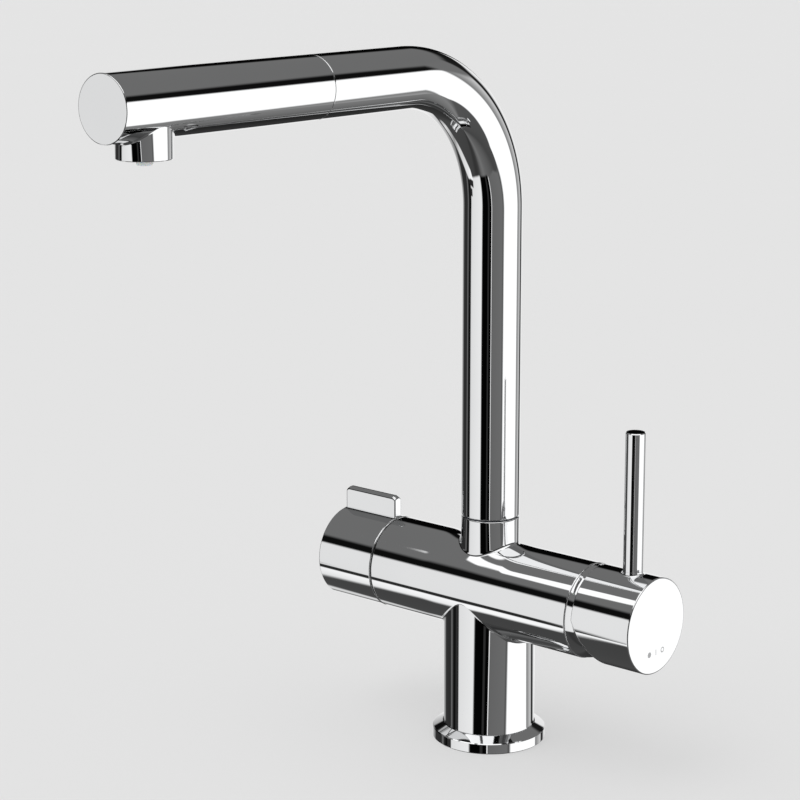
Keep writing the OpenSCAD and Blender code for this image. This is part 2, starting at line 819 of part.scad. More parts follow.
// The two quadrants that the water goes through, drawn as one shape
module quadrants(r, h) {
    for (turn = [0, 180])
        rotate([0, 0, turn - quadrant_turn / 2]) rotate_extrude(angle = quadrant_turn)
            translate([quadrant_hub, 0]) square([r - quadrant_hub, h]);
}

module valve_fixed_disc() {
    color(alumina) along_minus_x(valve_seal_top) difference() {
        cylinder(r = valve_disc_r, h = valve_disc_t);
        translate([0, 0, -over]) quadrants(valve_disc_r - quadrant_rim, valve_disc_t + 2 * over);
    }
}

module valve_moving_disc() {
    color(alumina) along_minus_x(valve_moving_x) difference() {
        cylinder(r = valve_disc_r - valve_play, h = valve_disc_t);
        translate([0, 0, -over]) rotate([0, 0, 90])
            quadrants(valve_disc_r - quadrant_rim, valve_disc_t + 2 * over);
    }
}

// The spindle's foot drives the moving disc and lets the water out at two sides
module valve_spindle() {
    foot_l = nose_roof - valve_play - valve_moving_top;
    color(brass) difference() {
        union() {
            along_minus_x(valve_moving_top) cylinder(r = valve_disc_r - valve_play, h = foot_l);
            along_minus_x(valve_moving_top)
                cylinder(r = spindle_r, h = spindle_end - valve_moving_top);
        }
        along_minus_x(valve_moving_top - over)
            for (side = [-1, 1])
                translate([-valve_disc_r, side * spindle_slot_y - spindle_slot_w / 2, 0])
                    cube([2 * valve_disc_r, spindle_slot_w, foot_l - spindle_web + over]);
    }
}

// The fin seen along Y, with its two upper corners rounded
module fin_side() {
    corner = min(fin_t / 2, fin_h / 2);
    union() {
        translate([knob_start, 0]) square([knob_l, barrel_r + fin_h - corner]);
        translate([knob_start + corner, 0]) square([knob_l - 2 * corner, barrel_r + fin_h]);
        for (x = [knob_start + corner, knob_end - corner])
            translate([x, barrel_r + fin_h - corner]) circle(r = corner);
    }
}

// The fin seen along X, with its full round top
module fin_end() {
    translate([-fin_t / 2, 0]) square([fin_t, barrel_r + fin_h - fin_t / 2]);
    translate([0, barrel_r + fin_h - fin_t / 2]) circle(r = fin_t / 2);
}

module knob_fin() {
    intersection() {
        translate([0, 0, barrel_z]) mirror([1, 0, 0]) rotate([90, 0, 0])
            linear_extrude(height = 2 * fin_t, center = true) fin_side();
        translate([-knob_end - over, 0, barrel_z]) rotate([90, 0, 90])
            linear_extrude(height = knob_l + 2 * over) fin_end();
    }
}

module filter_knob() {
    cavity_r = barrel_r - knob_wall;
    cavity_l = knob_l - knob_wall;
    color(chrome) difference() {
        union() {
            difference() {
                union() {
                    along_minus_x(knob_start)
                        turned_bar(barrel_r, knob_l, edge_chamfer, edge_chamfer);
                    knob_fin();
                }
                along_minus_x(knob_start - over) cylinder(r = cavity_r, h = cavity_l + over);
            }
            along_minus_x(knob_start + hub_recess) cylinder(r = hub_r, h = knob_l - 2 * hub_recess);
        }
        along_minus_x(knob_start - over)
            cylinder(r = spindle_r + seat_gap, h = spindle_end - knob_start + over + move_gap);
        translate([-knob_grub_x, 0, barrel_z - barrel_r - over])
            cylinder(r = grub_r, h = barrel_r + over);
    }
}

// A grub screw in the knob's hub presses on the spindle
module knob_grub_screw() {
    translate([-knob_grub_x, 0, barrel_z - spindle_r]) grub_screw(knob_grub_l);
}

// The spigot is brazed into the tube's foot and turns in the collar
module swivel_spigot() {
    color(brass) difference() {
        union() {
            translate([0, 0, spigot_foot])
                turned_bar(spigot_r, spigot_l + swivel_gap + over, plug_chamfer, 0);
            translate([0, 0, tube_foot]) turned_bar(plug_r, plug_l, 0, plug_chamfer);
        }
        translate([0, 0, spigot_foot - over])
            cylinder(r = spigot_bore_r, h = spigot_l + swivel_gap + plug_l + 2 * over);
        for (z = oring_heights)
            translate([0, 0, z]) ring(swivel_r + over, groove_r, groove_t);
        translate([0, 0, snap_z - groove_play])
            ring(swivel_r + over, snap_groove_r, snap_t + 4 * groove_play);
    }
}

module swivel_o_rings() {
    color(rubber) for (z = oring_heights)
        translate([0, 0, z + groove_play]) ring(swivel_r - run_gap / 2, groove_r + seat_gap, oring_t);
}

// The glide ring carries the spout on the collar
module swivel_glide_ring() {
    color(acetal) translate([0, 0, collar_top])
        ring(tube_r - edge_chamfer - glide_inset, spigot_r + move_gap, swivel_gap - seat_gap);
}

// A split spring ring in the collar's groove holds the spigot down
module swivel_snap_ring() {
    color(steel) translate([0, 0, snap_z + groove_play]) difference() {
        ring(snap_r, snap_groove_r + move_gap, snap_t);
        translate([-snap_split / 2, 0, -over])
            cube([snap_split, 2 * snap_r, snap_t + 2 * over]);
    }
}

// A bent bar along the spout's centre line, from a height to a distance along the arm
module spout_bar(r, foot_z, end_y) {
    translate([0, 0, foot_z]) cylinder(r = r, h = riser_end - foot_z);
    translate([0, -elbow_r, riser_end]) rotate([90, 0, 90])
        rotate_extrude(angle = 90) translate([elbow_r, 0]) circle(r = r);
    along_arm(elbow_r) cylinder(r = r, h = end_y - elbow_r);
}

module spout_tube() {
    color(chrome) difference() {
        spout_bar(tube_r, tube_foot, seam_y);
        spout_bar(tube_bore_r, tube_foot - over, seam_y + over);
        translate([0, 0, tube_foot - over]) difference() {
            cylinder(r = tube_r + over, h = over + edge_chamfer);
            cylinder(r1 = tube_r - edge_chamfer - over, r2 = tube_r, h = over + edge_chamfer);
        }
    }
}

// The end piece plugs into the tube at the seam and carries the nozzle below
module spout_end() {
    end_l = arm_end - seam_y;
    color(chrome) difference() {
        union() {
            along_arm(seam_y) turned_bar(tube_r, end_l, seam_chamfer, edge_chamfer);
            along_arm(seam_y - plug_l) turned_bar(plug_r, plug_l + over, plug_chamfer, 0);
            translate([0, -outlet_y, nozzle_rim]) turned_bar(nozzle_r, nozzle_drop, nozzle_chamfer, 0);
            translate([0, -outlet_y, arm_z]) rotate([180, 0, 90])
                saddle_fillet(nozzle_r, tube_r, nozzle_fillet);
        }
        along_arm(seam_y - plug_l - over) cylinder(r = end_plug_bore_r, h = plug_l + 2 * over);
        along_arm(seam_y) cylinder(r = end_bore_r, h = end_l - end_cap_t);
        translate([0, -outlet_y, nozzle_rim - over])
            cylinder(r = nozzle_bore_r, h = nozzle_step - nozzle_rim + over);
        translate([0, -outlet_y, nozzle_rim]) cylinder(r = throat_r, h = nozzle_drop);
        along_arm(seam_ring_y - seat_gap)
            ring(tube_r, seam_groove_r, seam_ring_t + 2 * seat_gap);
    }
}

module spout_end_o_ring() {
    color(rubber) along_arm(seam_ring_y)
        ring(tube_bore_r - seat_gap / 2, seam_groove_r + seat_gap / 2, seam_ring_t);
}

// A bent bar along the inner tube's centre line, from the body to the nozzle
module inner_bar(r, foot_z, end_z) {
    spout_bar(r, foot_z, outlet_y - inner_bend_r);
    translate([0, -outlet_y + inner_bend_r, arm_z - inner_bend_r]) rotate([90, 0, -90])
        rotate_extrude(angle = 90) translate([inner_bend_r, 0]) circle(r = r);
    translate([0, -outlet_y, end_z]) cylinder(r = r, h = arm_z - inner_bend_r - end_z);
}

module inner_water_tube() {
    color(silicone) difference() {
        inner_bar(inner_r, inner_foot, inner_end);
        inner_bar(inner_bore_r, inner_foot - over, inner_end - over);
    }
}

// A rubber ring on the swivel's floor seals the inner tube in its socket
module inner_tube_o_ring() {
    color(rubber) translate([0, 0, swivel_floor]) ring(inner_r + inner_ring_w, socket_r, inner_ring_t);
}

module aerator_housing() {
    bore_r = outlet_r + move_gap;
    color(nylon) translate([0, -outlet_y, aerator_foot]) {
        union() {
            ring(aerator_r, aerator_r - aerator_wall, aerator_h);
            ring(aerator_r, aerator_r - aerator_wall - lip_w, lip_t);
            translate([0, 0, lip_t + screen_t])
                ring(bore_r + spoke_t, bore_r, aerator_h - lip_t - screen_t);
            for (turn = [0 : 60 : 300])
                rotate([0, 0, turn]) translate([bore_r + spoke_t / 2, -spoke_t / 2, lip_t + screen_t])
                    cube([aerator_r - bore_r - spoke_t, spoke_t, aerator_h - lip_t - screen_t]);
        }
    }
}

// The screen has two rings of holes round the outlet
module aerator_screen() {
    inner = outlet_r + move_gap;
    outer = aerator_r - aerator_wall - seat_gap;
    color(steel) translate([0, -outlet_y, aerator_foot + lip_t]) difference() {
        ring(outer, inner, screen_t);
        for (lane = [0, 1])
            for (turn = [0 : 30 - 10 * lane : 359])
                rotate([0, 0, turn])
                    translate([inner + (outer - inner) * (0.3 + 0.4 * lane), 0, -over])
                        cylinder(r = screen_hole_r, h = screen_t + 2 * over, $fn = 16);
    }
}

module aerator_seal() {
    color(rubber) translate([0, -outlet_y, aerator_top])
        ring(aerator_r, aerator_r - aerator_seal_w, aerator_seal_t - seat_gap);
}

// The silicone outlet slips over the inner tube and shows under the nozzle
module filtered_outlet() {
    color(silicone) translate([0, -outlet_y, outlet_foot]) difference() {
        turned_bar(outlet_r, outlet_top - outlet_foot, outlet_chamfer, 0);
        translate([0, 0, -over]) cylinder(r = inner_bore_r, h = outlet_top - outlet_foot + 2 * over);
        translate([0, 0, inner_end - outlet_foot - 2 * seat_gap])
            cylinder(r = inner_r + seat_gap, h = outlet_top - inner_end + over);
    }
}

base_ring();
base_seal();
tap_body();
cartridge_base();
cartridge_seals();
cartridge_housing();
fixed_disc();
moving_disc();
disc_carrier();
cartridge_rotor();
cartridge_lever();
lever_pivot_pin();
cartridge_nut();
ball_cap();
mixer_handle();
handle_grub_screw();
lever_rod();
headwork_body();
headwork_seal();
valve_fixed_disc();
valve_moving_disc();
valve_spindle();
filter_knob();
knob_grub_screw();
swivel_spigot();
swivel_o_rings();
swivel_glide_ring();
swivel_snap_ring();
spout_tube();
spout_end();
spout_end_o_ring();
inner_water_tube();
inner_tube_o_ring();
aerator_housing();
aerator_screen();
aerator_seal();
filtered_outlet();
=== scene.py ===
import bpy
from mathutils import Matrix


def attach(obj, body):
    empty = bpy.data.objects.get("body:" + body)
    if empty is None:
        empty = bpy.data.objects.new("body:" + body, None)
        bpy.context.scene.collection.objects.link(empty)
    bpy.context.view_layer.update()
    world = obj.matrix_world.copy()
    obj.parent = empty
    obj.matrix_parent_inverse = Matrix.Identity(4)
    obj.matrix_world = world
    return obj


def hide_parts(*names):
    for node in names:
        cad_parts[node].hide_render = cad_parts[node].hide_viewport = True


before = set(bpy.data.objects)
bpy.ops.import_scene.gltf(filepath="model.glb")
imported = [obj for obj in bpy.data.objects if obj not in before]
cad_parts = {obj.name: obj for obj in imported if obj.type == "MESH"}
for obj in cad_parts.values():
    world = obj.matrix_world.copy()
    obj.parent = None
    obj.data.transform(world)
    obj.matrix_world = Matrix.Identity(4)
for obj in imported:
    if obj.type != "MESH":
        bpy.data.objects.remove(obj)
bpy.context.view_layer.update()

from math import acos, asin, atan2, copysign, cos, pi, radians, sin, sqrt, tan

import bpy
import numpy as np
from mathutils import Euler, Vector
from mathutils.geometry import delaunay_2d_cdt

MM = 0.001
scene = bpy.context.scene
scene.view_settings.view_transform = "Standard"

# --- Camera -------------------------------------------------------------------------
# The photograph looks down on the tap from its front right, past the mixer handle,
# through a long lens that is shifted down, so the uprights stay nearly parallel.
camera_place = (0.66091, -0.83761, 0.41586)
camera_turn, camera_dip = 40.609, 11.104
camera_lens, camera_shift = 103.38, -0.10

camera = bpy.data.objects.new("camera", bpy.data.cameras.new("camera"))
camera.data.lens = camera_lens
camera.data.shift_y = camera_shift
camera.data.clip_start = 0.05
camera.data.clip_end = 60
camera.location = camera_place
camera.rotation_euler = Euler((radians(90 - camera_dip), 0, radians(camera_turn)))
scene.collection.objects.link(camera)
scene.camera = camera


# --- Studio -------------------------------------------------------------------------
# Chrome shows nothing but its surroundings, so the studio is a round room of pale
# walls, dark flags and light panels, far off round the tap. The lens doesn't see the
# room itself, only the pale backdrop and floor.
class Value:
    """A shader socket that can be used in an expression."""

    def __init__(self, tree, socket):
        self.tree, self.socket = tree, socket

    def node(self, kind, settings=None, inputs=None, out=0):
        """Makes any node: its settings first, then the values or links of its inputs."""
        made = self.tree.nodes.new("ShaderNode" + kind)
        for name, value in (settings or {}).items():
            if name == "stops":
                ramp = made.color_ramp
                while len(ramp.elements) < len(value):
                    ramp.elements.new(1)
                for element, (place, level) in zip(ramp.elements, value):
                    element.position = place
                    element.color = (level, level, level, 1)
            else:
                setattr(made, name, value)
        for name, value in (inputs or {}).items():
            if isinstance(value, Value):
                self.tree.links.new(value.socket, made.inputs[name])
            else:
                made.inputs[name].default_value = value
        return Value(self.tree, made.outputs[out])

    def maths(self, operation, *values):
        return self.node("Math", {"operation": operation}, dict(enumerate(values)))

    def __add__(self, other):
        return self.maths("ADD", self, other)

    def __sub__(self, other):
        return self.maths("SUBTRACT", self, other)

    def __rsub__(self, other):
        return self.maths("SUBTRACT", other, self)

    def __mul__(self, other):
        return self.maths("MULTIPLY", self, other)

    def __truediv__(self, other):
        return self.maths("DIVIDE", self, other)

    __radd__, __rmul__ = __add__, __mul__

    def ramp(self, low, high, start=0.0, end=1.0):
        """Goes from start to end, smoothly, while the value goes from low to high."""
        ends = {"From Min": low, "From Max": high, "To Min": start, "To Max": end}
        kind = {"interpolation_type": "SMOOTHSTEP"}
        return self.node("MapRange", kind, {"Value": self, **ends})

    def span(self, low, full, fading, gone):
        """Rises from 0 to 1 between the first two limits and falls back between the others."""
        return self.ramp(low, full) * (1 - self.ramp(fading, gone))

    def into(self, other, share):
        """Blends this value into another by a share."""
        return self * (1 - share) + other * share


def new_tree(material):
    """Empties a material's or a world's nodes and gives the first value to build from."""
    material.use_nodes = True
    material.node_tree.nodes.clear()
    return Value(material.node_tree, None)


def output(tree, shader, kind="OutputMaterial"):
    """Leads a finished shader to the output of its material or world."""
    made = tree.tree.nodes.new("ShaderNode" + kind)
    tree.tree.links.new(shader.socket, made.inputs["Surface"])


def light(grey):
    """The light that shows as this grey, from 0 to 255, in the finished picture."""
    return (grey / 255) ** 2.2


room_r, floor_size = 12.0, 16
chrome_share = 0.8
matt_level = 0.9
backdrop_grey = 227

# Round the walls: compass angles, where 0 is in front of the spout and 90 on the handle's
# side, each with the grey that the chrome shows there
wall_panels = [
    (-180, 34), (-175, 34), (-170, 200), (-163, 228), (-137, 226), (-122, 170),
    (-106, 118), (-103, 52), (-75, 46), (-73, 100), (-69, 100), (-67, 48), (-60, 20),
    (-53.5, 20), (-51.5, 214), (-43, 222), (-4, 232), (-1, 12), (20, 10), (21, 48), (25, 48),
    (26, 8), (34, 14), (38, 100), (76, 106), (81, 66), (85, 262), (148, 262),
    (150.5, 120), (153, 135), (172, 200), (175, 34),
]
# Where the walls end below, as angles of height, and the greys of the floor beyond
wall_feet = [
    (-180, -22), (-140, -22), (-136, -36), (-128, -33), (-124, -30), (-55, -30),
    (-50, -37), (-42, -34.5), (-24, -38), (-6, -40), (30, -38), (36, -35), (60, -34),
    (66, -31.5), (74, -28), (82, -28), (88, -38), (105, -41.5), (120, -43), (144, -43),
    (150, -38), (156, -35), (162, -31), (180, -22),
]
floor_greys = [
    (-180, 118), (-174, 60), (-167, 40), (-150, 50), (-138, 56), (-126, 70), (-30, 66),
    (-18, 54), (-8, 56), (0, 66), (8, 96), (18, 112), (30, 100), (52, 88), (68, 70),
    (90, 76), (140, 84), (150, 125), (168, 108), (176, 97), (180, 118),
]
# A pale skirting runs along the back of the room, below the walls' feet
skirting_tops = [
    (-128, -37), (-118, -34.5), (-96, -34.5), (-84, -33), (-72, -31), (-60, -29),
    (-50, -31.5), (-36, -32.5),
]
skirting_feet = [
    (-128, -43), (-118, -46), (-90, -47.5), (-78, -46.5), (-66, -44.5), (-54, -42),
    (-47, -40), (-42, -35.5), (-38, -33),
]
skirting_greys = [(-128, 150), (-118, 215), (-101, 146), (-88, 212), (-60, 228), (-46, 250)]


def lit(grey):
    """The light that a panel needs to show as this grey in the chrome."""
    return light(grey) / chrome_share


def at(angle):
    """Where a compass angle lies on a ramp's scale from 0 to 1."""
    return (angle + 180) / 360


room_material = bpy.data.materials.new("studio_room")
tree = new_tree(room_material)
place = tree.node("NewGeometry")
x, y, z = (place.node("SeparateXYZ", None, {0: place}, i) for i in range(3))
across = place.maths("SQRT", x * x + y * y)
compass = place.maths("ARCTAN2", x, y * -1) * (180 / pi)
rise = place.maths("ARCTAN2", z, across) * (180 / pi)


def round_room(stops):
    """A value that changes with the compass angle, from stop to stop."""
    places = [(at(turn), value) for turn, value in stops]
    made = compass.node("ValToRGB", {"stops": places}, {"Fac": at(compass)})
    return made.node("RGBToBW", None, {0: made})


def greys(stops):
    return round_room([(turn, lit(grey)) for turn, grey in stops])


def heights(stops):
    return round_room([(turn, (h + 90) / 180) for turn, h in stops]) * 180 - 90


# Over the walls comes a dark cornice, and then a grey ceiling with two lit panels, of
# which the first ends along a straight line
cornice = greys([(-180, 34), (-150, 20), (146, 22), (150, 108), (174, 108), (178, 36)])
ceiling = cornice.into(lit(106), rise.ramp(27, 33))
panel_a = compass.span(-60.5, -58.5, -49, -47) * rise.span(41, 43, 51, 53)
panel_a = panel_a * (x / room_r).ramp(-0.62, -0.603)
panel_b = compass.span(-101, -99, -93, -91) * rise.span(53, 54, 58, 59)
ceiling = ceiling.into(lit(262), panel_a).into(lit(215), panel_b)
# A wide lamp over the front, which the small edges at the joints and the seam catch
lamp = compass.span(-48, -42, 125, 132) * rise.ramp(44, 48)
lamp_side = compass.span(-95, -88, 125, 132) * rise.ramp(59, 62)
ceiling = ceiling.into(lit(262), lamp.maths("MAXIMUM", lamp, lamp_side))
# A slit of light in the wall draws the thin bright line along the riser
slit = compass.span(33.6, 34.6, 35.6, 36.6)
room = greys(wall_panels).into(lit(240), slit).into(ceiling, rise.ramp(15, 19))
# A low dark flag before the wall, and then the floor, which starts at the wall's foot
low_flag = compass.span(-57, -55, -46.5, -44.5) * rise.span(-24.5, -23, -18.2, -17.2)
room = room.into(lit(48), low_flag)
room = room.into(greys(floor_greys), 1 - (rise - heights(wall_feet)).ramp(-1.5, 1.5))
# A dark gap, and below it the pale skirting
gap = compass.span(-62, -57, -40, -37) * rise.span(-33, -31.5, -26.5, -25)
room = room.into(lit(44), gap)
skirting = compass.span(-129, -124, -39, -36)
skirting = skirting * (1 - (rise - heights(skirting_tops)).ramp(-1, 1))
skirting = skirting * (rise - heights(skirting_feet)).ramp(-1.5, 1.5)
room = room.into(greys(skirting_greys), skirting)
# A black flag stands behind, where the tops of the barrel and the rod look
flag = compass.span(-153, -151, -134, -132) * rise.span(2, 4, 27, 29)
room = room.into(lit(12), flag)
# What isn't chrome sees the room as one even light
room = room.into(matt_level, place.node("LightPath", None, None, "Is Diffuse Ray"))
output(tree, room.node("Emission", None, {"Color": (1, 1, 1, 1), "Strength": room}))

bpy.ops.mesh.primitive_uv_sphere_add(segments=96, ring_count=48, radius=room_r)
room_ball = bpy.context.object
room_ball.name = "studio_room"
room_ball.data.materials.append(room_material)
room_ball.visible_camera = False
room_ball.visible_shadow = False

backdrop = bpy.data.worlds.new("backdrop")
scene.world = backdrop
tree = new_tree(backdrop)
pale = light(backdrop_grey)
output(tree, tree.node("Background", None, {"Color": (pale, pale, pale, 1)}), "OutputWorld")

# The floor takes the tap's soft shadow, and glows a little so that it stays pale
floor_glow = 0.6
floor_material = bpy.data.materials.new("studio_floor")
tree = new_tree(floor_material)
grain = tree.node("TexNoise", None, {"Scale": 40.0, "Detail": 3.0})
floor_grey = grain.ramp(0.3, 0.7, 0.795, 0.8)
floor_colour = grain.node("CombineColor", None, {i: floor_grey for i in range(3)})
camera_ray, glossy_ray, clear_ray = (
    grain.node("LightPath", None, None, f"Is {kind} Ray")
    for kind in ("Camera", "Glossy", "Transmission")
)
glow = (camera_ray + glossy_ray + clear_ray) * floor_glow
matt = grain.node("BsdfDiffuse", None, {"Color": floor_colour})
plain = grain.node("Emission", None, {"Color": (pale, pale, pale, 1)})
output(tree, grain.node("MixShader", None, {0: glow, 1: matt, 2: plain}))
bpy.ops.mesh.primitive_plane_add(size=floor_size)
floor = bpy.context.object
floor.name = "studio_floor"
floor.data.materials.append(floor_material)
floor.visible_glossy = False

key_way = Vector((0.42, 0.62, -1.5))
key_light = bpy.data.objects.new("key_light", bpy.data.lights.new("key_light", "SUN"))
key_light.data.energy = 0.62
key_light.data.angle = radians(38)
key_light.rotation_euler = key_way.to_track_quat("-Z", "Y").to_euler()
key_light.visible_glossy = False
scene.collection.objects.link(key_light)


# --- Cast body ----------------------------------------------------------------------
# The body is one brass casting, a short column with a cross barrel and a swivel
# collar, turned on its bars, polished and chromed. Rolling fillets blend the bars.
round_steps = 180
full_turn = [radians(360 / round_steps * i) for i in range(round_steps)]


class Skin:
    """The skin of one piece: points in millimetres, faces, and the true normal of the
    turned or cast surface at each corner of each face."""

    def __init__(self):
        self.points, self.faces, self.normals, self.known = [], [], [], {}
        self.turns = list(full_turn)

    def point(self, place):
        """The number of the point at this place, which is made if it is new."""
        key = tuple(round(float(v), 4) for v in place)
        if key not in self.known:
            self.known[key] = len(self.points)
            self.points.append(key)
        return self.known[key]

    def sheet(self, points, normals, closed=False):
        """A grid of faces from rows of points. A closed one joins its last column to
        its first."""
        points, normals = np.asarray(points, float), np.asarray(normals, float)
        rows, columns = points.shape[:2]
        ids = [[self.point(place) for place in row] for row in points.tolist()]
        beside, beside_normal = np.roll(points, -1, 1), np.roll(normals, -1, 1)
        facing = np.cross(beside[1:] - points[:-1], points[1:] - beside[:-1])
        outward = (normals + beside_normal)[1:] + (normals + beside_normal)[:-1]
        backward = (np.sum(facing * outward, axis=2) < 0).tolist()
        for i in range(rows - 1):
            for j in range(columns if closed else columns - 1):
                k = (j + 1) % columns
                ring = {ids[a][b]: (a, b) for a, b in ((i, j), (i, k), (i + 1, k), (i + 1, j))}
                if len(ring) < 3:
                    continue
                corners = list(ring.items())
                if backward[i][j]:
                    corners.reverse()
                self.faces.append([number for number, _ in corners])
                self.normals.append([normals[c] for _, c in corners])

    def finish(self, name, material, body, stands_for):
        """Makes the piece from its skin, and lets it ride on its body."""
        mesh = bpy.data.meshes.new(name)
        mesh.from_pydata([tuple(v * MM for v in p) for p in self.points], [], self.faces)
        mesh.polygons.foreach_set("use_smooth", [True] * len(mesh.polygons))
        facing = np.array([n for face in self.normals for n in face], float)
        facing /= np.maximum(np.linalg.norm(facing, axis=1, keepdims=True), 1e-9)
        mesh.normals_split_custom_set(facing.tolist())
        mesh.materials.append(material)
        piece = bpy.data.objects.new(name, mesh)
        scene.collection.objects.link(piece)
        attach(piece, body)
        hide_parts(*stands_for)
        return piece


def upright(centre=(0, 0, 0)):
    """A bar along +Z. The angle runs from +X to +Y."""
    return centre, (0, 0, 1), (1, 0, 0), (0, 1, 0)


def lengthways(centre):
    """A bar along +X. The angle runs from the top to the front."""
    return centre, (1, 0, 0), (0, 0, 1), (0, -1, 0)


def between(a, b, share):
    """The direction that lies this share of the way from one direction to another."""
    turn = acos(max(-1.0, min(1.0, float(a @ b))))
    if turn < 1e-4:
        return a
    return (sin((1 - share) * turn) * a + sin(share * turn) * b) / sin(turn)


def evenly(low, high, count):
    """Places from low to high in this many even steps."""
    return [low + (high - low) * i / count for i in range(count + 1)]


# An edge takes up no more than its share of a side, and a slight turn has none
slight_turn, edge_share = radians(12), 0.45
edge_steps, own_edge_steps = 6, 14


def outlined(corners, edge):
    """Rows of a turned outline with its true normals. Each corner (radius, height) gets
    a small rounded edge, or the larger one that stands third in it, and slight turns
    are taken as points on a curve. An outline that ends where it starts is closed."""
    rows = []
    closed = corners[0] == corners[-1]
    corners = corners[:-1] if closed else corners
    edges = [corner[2] if len(corner) > 2 else edge for corner in corners]
    corners = [corner[:2] for corner in corners]
    count = len(corners)
    for i, corner in enumerate(corners):
        here = np.array(corner, float)
        ways = []
        for j in (i - 1, i + 1):
            if closed or 0 <= j < count:
                step = np.array(corners[j % count], float) - here
                ways.append((step / np.linalg.norm(step), np.linalg.norm(step)))
            else:
                ways.append(None)
        before, after = ways
        if before is None or after is None:
            way = after[0] if before is None else -before[0]
            rows.append((*here, way[1], -way[0]))
            continue
        incoming, outgoing = -before[0], after[0]
        turn = acos(max(-1, min(1, float(incoming @ outgoing))))
        n0 = np.array([incoming[1], -incoming[0]])
        n1 = np.array([outgoing[1], -outgoing[0]])
        if turn < slight_turn:
            n = (n0 + n1) / np.linalg.norm(n0 + n1)
            rows.append((*here, *n))
            continue
        most = edge_share * min(before[1], after[1])
        reach = min(edges[i] * tan(turn / 2), most)
        ball = reach / tan(turn / 2)
        inside = 1 if incoming[0] * outgoing[1] - incoming[1] * outgoing[0] > 0 else -1
        hub = here - incoming * reach - inside * n0 * ball
        steps = edge_steps if edges[i] == edge else own_edge_steps
        for step in range(steps + 1):
            n = between(n0, n1, step / steps)
            rows.append((*(hub + inside * ball * n), *n))
    if closed:
        rows.append(rows[0])
    return rows


# A row this far off stands where a curve or another wall takes over
lead = 2


def turned(skin, corners, frame_of, turns=full_turn, closed=True, edge=0.12, start=None):
    """Sweeps an outline round a bar's axis. It may start from a curve that is already
    there, such as the upper edge of a fillet, with the normals of that."""
    centre, along, first, second = (np.array(v, float) for v in frame_of)
    spokes = [first * cos(a) + second * sin(a) for a in turns]
    if start is not None:
        corners = [(corners[0][0], corners[0][1] - lead), *corners]
    rows = outlined(corners, edge)
    points = [[centre + along * h + s * r for s in spokes] for r, h, nr, nh in rows]
    normals = [[along * nh + s * nr for s in spokes] for r, h, nr, nh in rows]
    if start is not None:
        points[0], normals[0] = start
    skin.sheet(points, normals, closed)


branch_softness = 0.06


def saddle(skin, branch, run, ball, turns, branch_frame, softness, steps=10):
    """The rolling fillet where a branch leaves a run. The frame's axis is the branch's
    and its first spoke lies along the run. The wheel has softened the metal beyond the
    fillet, so its normals don't turn the whole way. Gives back the curve on the branch
    and the normals there."""
    centre, along, first, second = (np.array(v, float) for v in branch_frame)
    wide, far = branch + ball, run + ball
    points, normals = [], []
    for step in range(steps + 1):
        share, line, facing = step / steps, [], []
        for a in turns:
            side = wide * sin(a)
            hub = np.array([wide * cos(a), side, sqrt(far**2 - side * side)])
            to_branch = np.array([-cos(a), -sin(a), 0])
            to_run = -np.array([0, hub[1], hub[2]]) / far
            spot = hub + ball * between(to_branch, to_run, share)
            soft = branch_softness + share * (1 - branch_softness - softness)
            way = between(to_branch, to_run, soft)
            line.append(centre + first * spot[0] + second * spot[1] + along * spot[2])
            facing.append(-(first * way[0] + second * way[1] + along * way[2]))
        points.append(line)
        normals.append(facing)
    skin.sheet(points, normals, closed=True)
    return points[0], normals[0]


def framed_hole(
    skin, run, run_frame, steps, sides, centre_turn, hole_at, branch, ball=0, softness=0, rows=14
):
    """The part of a run round a branch or a hole: a rectangle of the bar's surface, at
    the given steps along it and between two sides round it, with the hole's curve
    inside. Gives back the turns about the hole at which both are joined."""
    centre, along, first, second = (np.array(v, float) for v in run_frame)
    sideways = second * cos(centre_turn) - first * sin(centre_turn)
    wide, far = branch + ball, run + ball
    low, high, (start, stop) = steps[0], steps[-1], sides
    every = [t + lap for lap in (-2 * pi, 0, 2 * pi) for t in skin.turns]
    round_turns = [t for t in every if start - 1e-6 <= t <= stop + 1e-6]
    border = [(high, t) for t in round_turns]
    border += [(x, round_turns[-1]) for x in reversed(steps[:-1])]
    border += [(low, t) for t in reversed(round_turns[:-1])]
    border += [(x, round_turns[0]) for x in steps[1:-1]]
    turns, points, normals = [], [[] for _ in range(rows + 1)], [[] for _ in range(rows + 1)]
    for x, t in border:
        a = atan2(run * (t - centre_turn), x - hole_at)
        turns.append(a)
        side = wide * sin(a)
        hole_x = hole_at + wide * cos(a)
        hole_t = centre_turn + atan2(side, sqrt(far**2 - side * side))
        leaving = along * cos(a) + sideways * sin(a)
        for i in range(rows + 1):
            share = i / rows
            u = hole_x + (x - hole_x) * share
            v = hole_t + (t - hole_t) * share
            spoke = first * cos(v) + second * sin(v)
            points[i].append(centre + along * u + spoke * run)
            normals[i].append(between(spoke, leaving, softness * (1 - share) ** 2))
    skin.sheet(points, normals, closed=True)
    return turns


